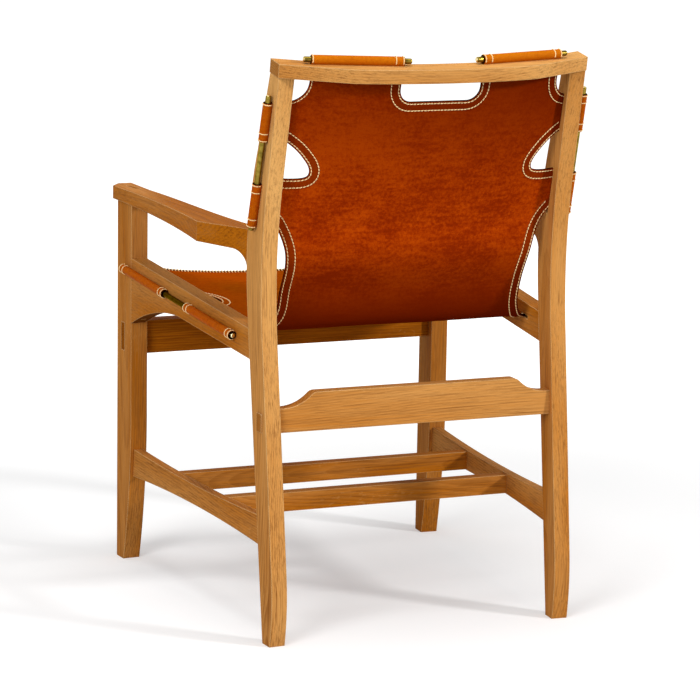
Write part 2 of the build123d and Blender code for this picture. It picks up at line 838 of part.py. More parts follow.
# Front apron
with BuildPart() as front_apron:
    add(cross_box(apron_back - apron_thickness, apron_back, apron_bottom, apron_top, arm_corner_x))
    split(bisect_by=left_side.offset(-front_leg_thickness), keep=Keep.BOTTOM)
    split(bisect_by=right_side.offset(-front_leg_thickness), keep=Keep.BOTTOM)
    add(apron_tenon())
    split(bisect_by=left_side.offset(0), keep=Keep.BOTTOM)
    split(bisect_by=right_side.offset(0), keep=Keep.BOTTOM)
write(front_apron.part, "front_apron")

# Rear stretcher: at both ends its top turns a tight corner and sinks in a long cove
with BuildPart() as rear_stretcher:
    with BuildSketch(Plane.XZ.offset(-back_stretcher_back)):
        with BuildLine():
            ogee_middle_x = back_stretcher_end_x - back_stretcher_cove_share * back_stretcher_ogee_length
            ogee_middle_z = back_stretcher_end_top + back_stretcher_cove_share * back_stretcher_end_drop
            Line((0, back_stretcher_bottom), (frame_half_width, back_stretcher_bottom))
            Line((frame_half_width, back_stretcher_bottom), (frame_half_width, back_stretcher_end_top))
            Line((frame_half_width, back_stretcher_end_top), (back_stretcher_end_x, back_stretcher_end_top))
            lower = TangentArc(
                (back_stretcher_end_x, back_stretcher_end_top),
                (ogee_middle_x, ogee_middle_z),
                tangent=(-1, 0),
            )
            TangentArc(
                (ogee_middle_x, ogee_middle_z),
                (back_stretcher_shoulder_x, back_stretcher_top),
                tangent=lower % 1,
            )
            Line((back_stretcher_shoulder_x, back_stretcher_top), (0, back_stretcher_top))
            mirror(about=Plane.YZ)
        make_face()
    extrude(amount=back_stretcher_thickness)
    split(bisect_by=left_side.offset(-post_thickness), keep=Keep.BOTTOM)
    split(bisect_by=right_side.offset(-post_thickness), keep=Keep.BOTTOM)
    add(back_stretcher_tenon())
    split(bisect_by=left_side.offset(tenon_proud), keep=Keep.BOTTOM)
    split(bisect_by=right_side.offset(tenon_proud), keep=Keep.BOTTOM)
write(rear_stretcher.part, "rear_stretcher")

# Low side stretchers
stretcher_span = (front_leg_back - leg_flare_depth, post_front_at(side_stretcher_bottom_end))
stretcher_middle = (stretcher_span[0] + stretcher_span[1]) / 2
with BuildPart() as side_stretcher_left:
    with BuildSketch(left_side.offset(-side_stretcher_inset)):
        with BuildLine():
            Line(
                (stretcher_span[0], side_stretcher_bottom_end),
                (stretcher_span[0], side_stretcher_top_end),
            )
            ThreePointArc(
                (stretcher_span[0], side_stretcher_top_end),
                (stretcher_middle, side_stretcher_top_middle),
                (stretcher_span[1], side_stretcher_top_end),
            )
            Line(
                (stretcher_span[1], side_stretcher_top_end),
                (stretcher_span[1], side_stretcher_bottom_end),
            )
            ThreePointArc(
                (stretcher_span[1], side_stretcher_bottom_end),
                (stretcher_middle, side_stretcher_bottom_middle),
                (stretcher_span[0], side_stretcher_bottom_end),
            )
        make_face()
    extrude(amount=-side_stretcher_thickness)
    add(post_blank.part, mode=Mode.SUBTRACT)
    add(leg_blank.part, mode=Mode.SUBTRACT)
    add(side_rear_tenon())
    add(side_front_tenon())
    add(cross_tenon(cross_stretcher_front_back, joint_clearance), mode=Mode.SUBTRACT)
    add(cross_tenon(cross_stretcher_rear_back, joint_clearance), mode=Mode.SUBTRACT)
write(side_stretcher_left.part, "side_stretcher_left")
with BuildPart() as side_stretcher_right:
    mirror(side_stretcher_left.part, about=Plane.YZ)
write(side_stretcher_right.part, "side_stretcher_right")

# Low cross stretchers
cross_backs = {
    "cross_stretcher_front": cross_stretcher_front_back,
    "cross_stretcher_rear": cross_stretcher_rear_back,
}
stretcher_face = side_stretcher_inset + side_stretcher_thickness
for name, back in cross_backs.items():
    with BuildPart() as cross_stretcher:
        add(
            cross_box(
                back - cross_stretcher_thickness,
                back,
                cross_stretcher_bottom,
                cross_stretcher_top,
                frame_half_width,
            )
        )
        split(bisect_by=left_side.offset(-stretcher_face), keep=Keep.BOTTOM)
        split(bisect_by=right_side.offset(-stretcher_face), keep=Keep.BOTTOM)
        add(cross_tenon(back))
    write(cross_stretcher.part, name)

# Rods and loops on the left, then their mirror images
post_rod_end = post_high_loop_start + post_high_loop_length + rod_overhang
seat_rod_end = seat_rear_loop_start + seat_rear_loop_length + seat_rod_overhang
side_neck = seat_rail_thickness + sheet_edge_gap
rods = {
    "post_rod": rod(
        side_line_plane(*post_line, post_low_loop_start - rod_overhang / 2),
        post_rod_end - post_low_loop_start + rod_overhang / 2,
    ),
    "seat_rod": rod(
        side_line_plane(*seat_line, seat_front_loop_start),
        seat_rod_end - seat_front_loop_start,
    ),
    "top_rod": rod(top_line_plane(-rod_overhang), top_loop_length + 2 * rod_overhang),
}
loops = {
    "back_loop_lower": loop(
        side_line_plane(*post_line, post_low_loop_start), post_low_loop_length, side_neck
    ),
    "back_loop_upper": loop(
        side_line_plane(*post_line, post_high_loop_start), post_high_loop_length, side_neck
    ),
    "seat_loop_front": loop(
        side_line_plane(*seat_line, seat_front_loop_start), seat_front_loop_length, side_neck
    ),
    "seat_loop_rear": loop(
        side_line_plane(*seat_line, seat_rear_loop_start), seat_rear_loop_length, side_neck
    ),
    "top_loop": loop(top_line_plane(0), top_loop_length, rail_height),
}
for name, piece in {**rods, **loops}.items():
    write(piece, name + "_left")
    write(mirror(piece, about=Plane.YZ), name + "_right")

# Leather sheet: rows of points across the chair, from the front edge to the top rail.
# At both sides a row starts at the loops' line, and between them it hangs by the sag.
sheet_depth = front_leg_thickness + sheet_edge_gap


def edge_line(place, height, slope_place, slope_height):
    """Point of the sheet's side edge, and the direction in which the sheet runs on."""
    point = left_side.from_local_coords((place, height, -sheet_depth))
    return point, Vector(0, slope_place, slope_height).normalized()


def smooth(share):
    """Ease from 0 to 1."""
    return share * share * (3 - 2 * share)


def between(low, high, share):
    """Value at a share of the way from low to high."""
    return low + (high - low) * share


seat_run = seat_rod_rear_place - seat_rod_front_place
seat_fall = seat_rod_rear_height - seat_rod_front_height
post_run = post_rod_high_place - post_rod_low_place
post_rise = post_rod_high_height - post_rod_low_height
bend_start_place = seat_rod_rear_place + 2 * leather_gap
bend_curve = Spline(
    (bend_start_place, along(seat_line[0], seat_line[1], bend_start_place)),
    (sheet_low_place, sheet_low_height),
    (sheet_bend_place, sheet_bend_height),
    (sheet_high_place, sheet_high_height),
    (post_rod_low_place, post_rod_low_height),
    tangents=((seat_run, seat_fall), (post_run, post_rise)),
)
stations = []
for row in range(seat_rows):
    share = row / seat_rows
    place = between(sheet_front_place, bend_start_place, share)
    sag = between(sheet_front_sag, sheet_bend_sag, share**2)
    height = along(seat_line[0], seat_line[1], place)
    stations.append((*edge_line(place, height, seat_run, seat_fall), sag))
for row in range(bend_rows):
    share = row / bend_rows
    point = bend_curve @ share
    heading = bend_curve % share
    sag = between(sheet_bend_sag, sheet_low_bow, smooth(share))
    stations.append((*edge_line(point.X, point.Y, heading.X, heading.Y), sag))
for row in range(back_rows + 1):
    share = row / back_rows
    height = between(post_rod_low_height, post_top_height, share)
    place = along(
        (post_rod_low_height, post_rod_low_place), (post_rod_high_height, post_rod_high_place), height
    )
    sag = between(sheet_low_bow, sheet_top_bow, share)
    stations.append((*edge_line(place, height, post_run, post_rise), sag))


def sheet_row(half_width, sag, offset):
    """Points of one line across the sheet, on its upper or its lower face."""
    row = []
    for column in range(sheet_columns):
        share = 2 * column / (sheet_columns - 1) - 1
        row.append((share * half_width, sag * (1 - abs(share) ** sag_power) + offset))
    return row


with BuildPart() as sheet_blank:
    for point, heading, sag in stations:
        row_plane = Plane(origin=(0, point.Y, point.Z), x_dir=(1, 0, 0), z_dir=heading)
        with BuildSketch(row_plane):
            with BuildLine():
                upper = Spline(*sheet_row(point.X, sag, -leather_thickness / 2))
                lower = Spline(*sheet_row(point.X, sag, leather_thickness / 2))
                Line(upper @ 0, lower @ 0)
                Line(upper @ 1, lower @ 1)
            make_face()
    loft()

# Cut-outs, drawn from behind, from above, and square to the bend between back and seat
post_inner_top = left_side.from_local_coords((post_waist_front, post_waist_height, -post_thickness))
post_inner_high = left_side.from_local_coords(
    (post_rod_high_place, post_rod_high_height, -post_thickness)
)
side_reach = post_inner_top.X + overrun
hand_hole_half_width = top_loop_inner_x + hand_hole_end_gap
hand_hole_bottom = rail_seat_z - hand_hole_depth
corner_cut_x = top_loop_outer_x - corner_cut_end_gap
corner_cut_bottom = rail_seat_z - corner_cut_depth
corner_cut_shoulder = rail_seat_z - corner_cut_shoulder_depth
low_loop_end = side_line_plane(*post_line, post_low_loop_start + post_low_loop_length).origin
high_loop_end = side_line_plane(*post_line, post_high_loop_start).origin
side_hole_bottom = low_loop_end.Z + side_hole_low_gap
side_hole_top = high_loop_end.Z - side_hole_high_gap
side_hole_shoulder_height = side_hole_bottom + side_hole_shoulder_rise
side_hole_apex_x = post_inner_high.X - side_hole_apex_inset
side_hole_shoulder_x = post_inner_high.X - side_hole_shoulder_inset
behind = Plane.XZ.offset(-post_back_top - sheet_top_bow)
deep = post_back_top + sheet_top_bow - post_waist_front + post_thickness
with BuildPart() as back_cuts:
    with BuildSketch(behind):
        with BuildLine():
            hand_hole_top = post_top_height + overrun
            Polyline(
                (hand_hole_half_width, hand_hole_top),
                (hand_hole_half_width, hand_hole_bottom),
                (-hand_hole_half_width, hand_hole_bottom),
                (-hand_hole_half_width, hand_hole_top),
                close=True,
            )
        make_face()
        fillet(vertices().group_by(Axis.Y)[0], radius=hand_hole_corner)
        for side in (-1, 1):
            with BuildLine():
                Line((side * corner_cut_x, hand_hole_top), (side * corner_cut_x, corner_cut_shoulder))
                TangentArc(
                    (side * corner_cut_x, corner_cut_shoulder),
                    (side * post_inner_high.X, corner_cut_bottom),
                    tangent=(0, -1),
                )
                Line(
                    (side * post_inner_high.X, corner_cut_bottom),
                    (side * side_reach, corner_cut_bottom),
                )
                Line((side * side_reach, corner_cut_bottom), (side * side_reach, hand_hole_top))
                Line((side * side_reach, hand_hole_top), (side * corner_cut_x, hand_hole_top))
            make_face()
            with BuildLine():
                corner_x = side_hole_apex_x + side_hole_corner
                Line((side * side_reach, side_hole_bottom), (side * corner_x, side_hole_bottom))
                TangentArc(
                    (side * corner_x, side_hole_bottom),
                    (side * side_hole_apex_x, side_hole_bottom + side_hole_corner),
                    tangent=(-side, 0),
                )
                Spline(
                    (side * side_hole_apex_x, side_hole_bottom + side_hole_corner),
                    (side * side_hole_shoulder_x, side_hole_shoulder_height),
                    (side * post_inner_high.X, side_hole_top),
                    tangents=((0, 1), (side, side_hole_apex_slope_share)),
                )
                Line((side * post_inner_high.X, side_hole_top), (side * side_reach, side_hole_top))
                Line((side * side_reach, side_hole_top), (side * side_reach, side_hole_bottom))
            make_face()
    extrude(amount=deep)
bend_view = Plane(
    origin=(0, sheet_bend_place, sheet_bend_height), x_dir=(-1, 0, 0), z_dir=(0, 1, -1)
)


def bend_point(x, share):
    """Point of the bend hole's edge, seen square to the bend, at a share of the bend's curve."""
    on_curve = bend_curve @ share
    place = edge_line(on_curve.X, on_curve.Y, 0, 1)[0]
    return x, bend_view.to_local_coords(Vector(0, place.Y, place.Z)).Y


with BuildPart() as bend_cuts:
    with BuildSketch(bend_view):
        for side in (-1, 1):
            with BuildLine():
                edge = [
                    bend_point(side * side_reach, 0),
                    bend_point(side * (post_inner_top.X - bend_hole_low_inset), bend_hole_low_share),
                    bend_point(side * (post_inner_top.X - bend_hole_middle_inset), bend_hole_middle_share),
                    bend_point(side * (post_inner_top.X - bend_hole_high_inset), bend_hole_high_share),
                    bend_point(side * post_inner_top.X, bend_hole_top_share),
                ]
                outer = bend_point(side * (side_reach + overrun), bend_hole_top_share)
                Spline(*edge)
                Line(edge[-1], outer)
                Line(outer, (outer[0], edge[0][1]))
                Line((outer[0], edge[0][1]), edge[0])
            make_face()
    extrude(amount=frame_half_width - side_hole_apex_x, both=True)
hole_start = seat_front_loop_start + seat_front_loop_length
hole_length = seat_rear_loop_start - hole_start
hole_middle = seat_rod_front_place + hole_start + hole_length / 2
with BuildPart() as seat_cuts:
    for side_plane in (left_side, right_side):
        middle = side_plane.from_local_coords((hole_middle, 0, -sheet_depth))
        hole_view = Plane(
            origin=(middle.X, middle.Y, seat_rod_rear_height),
            x_dir=side_plane.x_dir,
            z_dir=(0, 0, 1),
        )
        with BuildSketch(hole_view):
            Ellipse(hole_length / 2, seat_hole_depth)
        extrude(amount=seat_rod_front_height - seat_rod_rear_height, both=True)
with BuildPart() as sling_sheet:
    add(sheet_blank.part)
    add(back_cuts.part, mode=Mode.SUBTRACT)
    add(bend_cuts.part, mode=Mode.SUBTRACT)
    add(seat_cuts.part, mode=Mode.SUBTRACT)
    split(bisect_by=rail_plane.offset(-rod_gap), keep=Keep.BOTTOM)
write(sling_sheet.part, "sling_sheet")
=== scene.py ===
"""Looks of a sling armchair: an oiled oak frame that carries one leather sheet on brass rods.

Everything is in metres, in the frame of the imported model: +Z is up, the sitter faces -Y and
+X is the sitter's left. The oak and the brass keep the solids of the model and get a finish.
The leather is cut here as a flat pattern, laid on the sling's curved surface, and stitched.
"""

import logging
import math
from dataclasses import dataclass, field, replace
from enum import Enum
from typing import Callable, Iterable, Sequence

import bpy
import numpy as np
from mathutils import Matrix, Vector, geometry, noise


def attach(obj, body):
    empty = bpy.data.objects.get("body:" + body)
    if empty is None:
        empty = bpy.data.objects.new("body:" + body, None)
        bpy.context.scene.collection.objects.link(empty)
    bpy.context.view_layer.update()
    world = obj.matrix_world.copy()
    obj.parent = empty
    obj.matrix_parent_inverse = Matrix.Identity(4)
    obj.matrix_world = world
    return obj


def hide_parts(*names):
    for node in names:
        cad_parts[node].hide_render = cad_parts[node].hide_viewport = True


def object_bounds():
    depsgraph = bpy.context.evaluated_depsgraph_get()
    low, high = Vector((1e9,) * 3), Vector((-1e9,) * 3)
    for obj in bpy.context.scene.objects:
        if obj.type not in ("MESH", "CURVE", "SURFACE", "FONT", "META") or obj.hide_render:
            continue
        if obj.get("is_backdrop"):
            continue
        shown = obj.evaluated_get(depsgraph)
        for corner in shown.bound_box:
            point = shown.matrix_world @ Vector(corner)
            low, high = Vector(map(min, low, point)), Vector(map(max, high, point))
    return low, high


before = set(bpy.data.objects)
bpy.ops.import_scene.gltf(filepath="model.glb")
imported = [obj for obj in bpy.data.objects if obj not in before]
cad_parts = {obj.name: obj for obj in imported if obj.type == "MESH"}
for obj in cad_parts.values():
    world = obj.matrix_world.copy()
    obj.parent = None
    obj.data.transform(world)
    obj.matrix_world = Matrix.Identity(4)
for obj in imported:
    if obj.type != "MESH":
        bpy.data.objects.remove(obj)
CAD_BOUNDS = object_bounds()
LOG = logging.getLogger("armchair")
BODY = "root"
SIDES = {"left": 1, "right": -1}
LEATHER_THICKNESS = 0.0024
THREAD_RADIUS = 0.00078
ROD_STANDOFF = 0.0070

Colour = tuple[float, float, float, float]
Pair = tuple[float, float]
Numbers = float | np.ndarray


def srgb(code: str) -> Colour:
    """Turn a display colour into the linear colour that a shader takes.

    Args:
        code: Six hexadecimal digits, red first.

    Returns:
        Linear red, green, blue and an alpha of 1.
    """
    parts = [int(code[start:start + 2], 16) / 255 for start in (0, 2, 4)]
    linear = [part / 12.92 if part <= 0.04045 else ((part + 0.055) / 1.055) ** 2.4 for part in parts]
    return (linear[0], linear[1], linear[2], 1.0)


def eased(share: Numbers) -> Numbers:
    """Round off a share: 0 and less give 0, 1 and more give 1, softly joined.

    Args:
        share: One share or many.

    Returns:
        The eased share or shares.
    """
    held = np.clip(share, 0.0, 1.0)
    return held * held * (3 - 2 * held)


def between(low: float, high: float, share: Numbers) -> Numbers:
    """Value at a share of the way from low to high."""
    return low + (high - low) * share


def cubic(start: float, end: float, leave: float, arrive: float, share: float) -> float:
    """Value on a smooth curve from start to end.

    Args:
        start: Value where the curve starts.
        end: Value where it ends.
        leave: Its slope at the start, over the whole way.
        arrive: Its slope at the end, over the whole way.
        share: How far along it the value lies, from 0 to 1.

    Returns:
        The value.
    """
    third = 2 * (start - end) + leave + arrive
    second = -3 * (start - end) - 2 * leave - arrive
    return third * share**3 + second * share**2 + leave * share + start


def direction(azimuth: float, elevation: float) -> Vector:
    """Direction out of the chair, as the camera and the lamps are placed.

    Args:
        azimuth: Degrees from -Y, towards +X.
        elevation: Degrees above the floor.

    Returns:
        The unit direction.
    """
    turn, rise = math.radians(azimuth), math.radians(elevation)
    level = math.cos(rise)
    return Vector((math.sin(turn) * level, -math.cos(turn) * level, math.sin(rise)))


@dataclass(frozen=True)
class Cloud:
    """One layer of soft noise in a finish: its lumps per metre, and its finer layers.

    The stretch says how much a metre counts along the way in which the noise is drawn out.
    """

    scale: float
    detail: float
    roughness: float = 0.5
    stretch: float = 1.0


def operator(operation: str, reflected: bool = False) -> Callable[["Signal", "Signal | float"], "Signal"]:
    """Make the method behind one of Python's operators.

    Args:
        operation: What the Math node does.
        reflected: Whether the plain number stands on the left.

    Returns:
        The method.
    """
    def combine(signal: "Signal", other: "Signal | float") -> "Signal":
        """Combine a signal with a number or with another signal."""
        return signal.shader.maths(operation, *((other, signal) if reflected else (signal, other)))

    return combine


class Signal:
    """One output of a shader node, which takes part in plain arithmetic."""

    __add__, __radd__ = operator("ADD"), operator("ADD", reflected=True)
    __sub__, __rsub__ = operator("SUBTRACT"), operator("SUBTRACT", reflected=True)
    __mul__, __rmul__ = operator("MULTIPLY"), operator("MULTIPLY", reflected=True)
    __truediv__, __rtruediv__ = operator("DIVIDE"), operator("DIVIDE", reflected=True)

    def __init__(self, shader: "Shader", socket: bpy.types.NodeSocket | None) -> None:
        """Hold the socket and the shader that it belongs to."""
        self.shader = shader
        self.socket = socket

    def step(self, low: float, high: float) -> "Signal":
        """Ease from 0 at low to 1 at high, and hold there.

        Args:
            low: Input value that gives 0.
            high: Input value that gives 1.

        Returns:
            The eased value.
        """
        return self.shader.node(
            "ShaderNodeMapRange",
            {"interpolation_type": "SMOOTHSTEP"},
            {"Value": self, "From Min": low, "From Max": high},
        )


class Shader:
    """The node tree of one material, or of the world."""

    def __init__(self, owner: bpy.types.Material | bpy.types.World) -> None:
        """Empty the owner's node tree.

        Args:
            owner: The material or the world that the tree belongs to.
        """
        owner.use_nodes = True
        self.owner = owner
        self.tree = owner.node_tree
        self.tree.nodes.clear()

    def node(
        self,
        kind: str,
        settings: dict[str, object] | None = None,
        inputs: dict[str | int, object] | None = None,
        output: int | str = 0,
    ) -> Signal:
        """Add any node, with its settings first and its inputs after them.

        Args:
            kind: Type of the node.
            settings: Properties of the node, by name.
            inputs: Values or signals of its sockets, by name or place.
            output: The output that is wanted.

        Returns:
            The wanted output.
        """
        made = self.tree.nodes.new(kind)
        for key, value in (settings or {}).items():
            setattr(made, key, value)
        for key, value in (inputs or {}).items():
            if isinstance(value, Signal):
                self.tree.links.new(value.socket, made.inputs[key])
            else:
                made.inputs[key].default_value = value
        return Signal(self, made.outputs[output] if made.outputs else None)

    def maths(self, operation: str, first: Signal | float, second: Signal | float = 0.0) -> Signal:
        """Combine two numbers, or change one where the operation takes only one."""
        return self.node("ShaderNodeMath", {"operation": operation}, {0: first, 1: second})

    def mix(self, share: Signal | float, first: Signal | Colour, second: Signal | Colour) -> Signal:
        """Blend two colours.

        Args:
            share: 0 for the first colour, 1 for the second.
            first: A colour.
            second: Another colour.

        Returns:
            The blended colour.
        """
        settings = {"data_type": "RGBA", "clamp_factor": True}
        return self.node("ShaderNodeMix", settings, {0: share, 6: first, 7: second}, 2)

    def place(self) -> Signal:
        """Point of the surface in the object's own frame."""
        return self.node("ShaderNodeTexCoord", output="Object")

    def axes(self, point: Signal) -> tuple[Signal, Signal, Signal]:
        """Split a point into its three coordinates.

        Args:
            point: The point, or a direction.

        Returns:
            Its X, Y and Z.
        """
        split = self.node("ShaderNodeSeparateXYZ", {}, {0: point})
        x, y, z = (Signal(self, output) for output in split.socket.node.outputs)
        return x, y, z

    def point(self, x: Signal | float, y: Signal | float, z: Signal | float) -> Signal:
        """Join three coordinates into a point."""
        return self.node("ShaderNodeCombineXYZ", {}, {0: x, 1: y, 2: z})

    def length(self, point: Signal) -> Signal:
        """Distance of a point from the origin."""
        return self.node("ShaderNodeVectorMath", {"operation": "LENGTH"}, {0: point}, "Value")

    def clouds(self, point: Signal, cloud: Cloud) -> Signal:
        """Read one layer of soft noise.

        Args:
            point: Where it is read.
            cloud: The layer.

        Returns:
            The noise, about 0.5.
        """
        values = {"Scale": cloud.scale, "Detail": cloud.detail, "Roughness": cloud.roughness}
        return self.node("ShaderNodeTexNoise", {}, {"Vector": point, **values})

    def mark(self, name: str) -> Signal:
        """Read a number that the mesh carries at its points."""
        return self.node("ShaderNodeAttribute", {"attribute_name": name}, output="Fac")

    def bump(self, height: Signal, distance: float, strength: float, normal: Signal | None = None) -> Signal:
        """Turn a height into a surface normal.

        Args:
            height: Relative height, about 0 to 1.
            distance: Metres that a height of 1 stands for.
            strength: Share of the effect.
            normal: The normal that it starts from, if not the mesh's own.

        Returns:
            The normal.
        """
        inputs: dict[str | int, object] = {"Strength": strength, "Distance": distance, "Height": height}
        if normal is not None:
            inputs["Normal"] = normal
        return self.node("ShaderNodeBump", {}, inputs)

    def surface(self, inputs: dict[str, object]) -> bpy.types.Material:
        """Close the material with one principled surface.

        Args:
            inputs: Values or signals of the surface's sockets.

        Returns:
            The finished material.
        """
        self.show(self.node("ShaderNodeBsdfPrincipled", {}, inputs))
        return self.owner

    def show(self, surface: Signal) -> None:
        """Send a surface to the material's output."""
        self.node("ShaderNodeOutputMaterial", {}, {"Surface": surface})


class Run(Enum):
    """The way in which a board's fibres or a rod run."""

    ACROSS = 0
    DEEP = 1
    UPRIGHT = 2


@dataclass(frozen=True)
class OakFinish:
    """Oiled oak, cut from a log: year rings about a heart, pores along the fibres and rays.

    A pair whose name ends in span holds the values between which a mask goes from 0 to 1.
    """

    name: str
    run: Run
    heart: Pair
    tone_and_shade: float
    slope: float = 0.03
    figure: float = 0.5
    ring_width: float = 0.0042
    ring_drift: float = 0.03
    year_drift: float = 8.0
    edge_radius: float = 0.0024
    edge_samples: int = 4
    light: Colour = srgb("e2ac66")
    middle: Colour = srgb("b26610")
    dark: Colour = srgb("7a3e06")
    pore_and_shade: Colour = srgb("562a05")
    rubbed_edge_and_highlight: Colour = srgb("f2cc92")
    wander: Cloud = Cloud(9.0, 2.0, stretch=0.22)
    planks: Cloud = Cloud(14.0, 2.0, stretch=0.12)
    streaks: Cloud = Cloud(360.0, 4.0, 0.75, 0.022)
    vessels: Cloud = Cloud(900.0, 3.0, 0.65, 0.03)
    patches: Cloud = Cloud(26.0, 1.0, stretch=0.25)
    rays: Cloud = Cloud(420.0, 1.0, stretch=0.3)
    ray_spread: Pair = (1.3, 0.6)
    late_span: Pair = (0.1, 0.85)
    ring_end_span: Pair = (0.9, 1.0)
    early_span: Pair = (0.05, 0.5)
    vessel_span: Pair = (0.5, 0.72)
    patch_span: Pair = (0.5, 0.68)
    ray_span: Pair = (0.58, 0.7)
    end_grain_span: Pair = (0.8, 0.97)
    underside_shade_span: Pair = (0.25, 0.9)
    edge_highlight_span: Pair = (0.01, 0.2)
    floor_shade_height: float = 0.42
    late_pores: float = 0.3
    least_tone: float = 0.12
    tone_gain: float = 0.75
    plank_contrast: float = 1.3
    streak_paleness: float = 0.9
    streak_darkness: float = 2.9
    floor_shade_darkness: float = 0.14
    pore_darkness: float = 0.6
    fleck_paleness: float = 0.14
    end_grain_darkness: float = 0.3
    underside_shade_darkness: float = 0.92
    least_edge_highlight: float = 0.1
    roughness: float = 0.5
    pore_roughness: float = 0.2
    end_grain_roughness: float = 0.15
    fleck_polish: float = 0.08
    gloss: float = 0.008
    streak_relief: float = 0.5
    pore_relief: float = 0.8
    late_relief: float = 0.25
    relief_depth: float = 0.0003
    relief_strength: float = 0.55

    def build(self) -> bpy.types.Material:
        """Make the material.

        Returns:
            The material of one board.
        """
        shader = Shader(bpy.data.materials.new(self.name))
        x, y, z = shader.axes(shader.place())
        along = (x, y, z)[self.run.value]
        first = (y, z, x)[self.run.value] + self.heart[0]
        second = (z, x, y)[self.run.value] + self.heart[1]
        wander, planks, streaks, vessels, patches = (
            shader.clouds(shader.point(first, second, along * cloud.stretch), cloud)
            for cloud in (self.wander, self.planks, self.streaks, self.vessels, self.patches)
        )
        spread = (first * self.ray_spread[0], second * self.ray_spread[1])
        rays = shader.clouds(shader.point(*spread, along * self.rays.stretch), self.rays)
        tilted = first + along * self.slope + (wander - 0.5) * self.ring_drift
        radius = shader.length(shader.point(tilted, second, 0.0))
        phase = shader.maths("FRACT", radius / self.ring_width + (wander - 0.5) * self.year_drift)
        late = phase.step(*self.late_span) * (1.0 - phase.step(*self.ring_end_span))
        early = 1.0 - phase.step(*self.early_span)
        pores = vessels.step(*self.vessel_span) * (self.late_pores + early * (1.0 - self.late_pores))
        flecks = rays.step(*self.ray_span) * patches.step(*self.patch_span)
        # The tone is partly the board's own and partly painted shade; a tone above 1 darkens the board
        # further, as painted shade.
        tone_and_shade = self.least_tone + self.tone_and_shade * self.tone_gain
        share = (planks - 0.5) * self.plank_contrast + (0.5 - streaks) * self.streak_paleness + tone_and_shade
        colour = shader.mix(share, self.light, self.middle)
        # Painted shade: the oak darkens towards the floor, and this shade goes into the mix towards the dark
        # colour.
        low = 1.0 - z.step(0.0, self.floor_shade_height)
        painted_shade = low * self.floor_shade_darkness + max(0.0, self.tone_and_shade - 1.0)
        tint = late * planks * self.figure + (streaks - 0.5) * self.streak_darkness + painted_shade
        colour = shader.mix(tint, colour, self.dark)
        colour = shader.mix(pores * self.pore_darkness, colour, self.pore_and_shade)
        colour = shader.mix(flecks * self.fleck_paleness, colour, self.light)
        normal = shader.node("ShaderNodeNewGeometry", output="Normal")
        facing = shader.axes(normal)
        end_grain = shader.maths("ABSOLUTE", facing[self.run.value]).step(*self.end_grain_span)
        colour = shader.mix(end_grain * self.end_grain_darkness, colour, self.pore_and_shade)
        # Painted shade: faces that look down are darkened towards the pore colour, which also colours the
        # real pores and end grain.
        underside_shade = (facing[2] * -1.0).step(*self.underside_shade_span)
        colour = shader.mix(underside_shade * self.underside_shade_darkness, colour, self.pore_and_shade)
        bevel = {"samples": self.edge_samples}
        rounded = shader.node("ShaderNodeBevel", bevel, {"Radius": self.edge_radius})
        # The rounded edges are painted paler: partly rubbed wear, partly a painted highlight along the
        # arrises.
        dot = {"operation": "DOT_PRODUCT"}
        turned = 1.0 - shader.node("ShaderNodeVectorMath", dot, {0: normal, 1: rounded}, "Value")
        edge_wear_and_highlight = turned.step(*self.edge_highlight_span) * (wander + self.least_edge_highlight)
        dullness = self.roughness + pores * self.pore_roughness - flecks * self.fleck_polish
        height = streaks * self.streak_relief - pores * self.pore_relief + late * self.late_relief
        return shader.surface(
            {
                "Base Color": shader.mix(edge_wear_and_highlight, colour, self.rubbed_edge_and_highlight),
                "Roughness": dullness + end_grain * self.end_grain_roughness,
                "Normal": shader.bump(height, self.relief_depth, self.relief_strength, rounded),
                "Specular IOR Level": self.gloss,
            }
        )


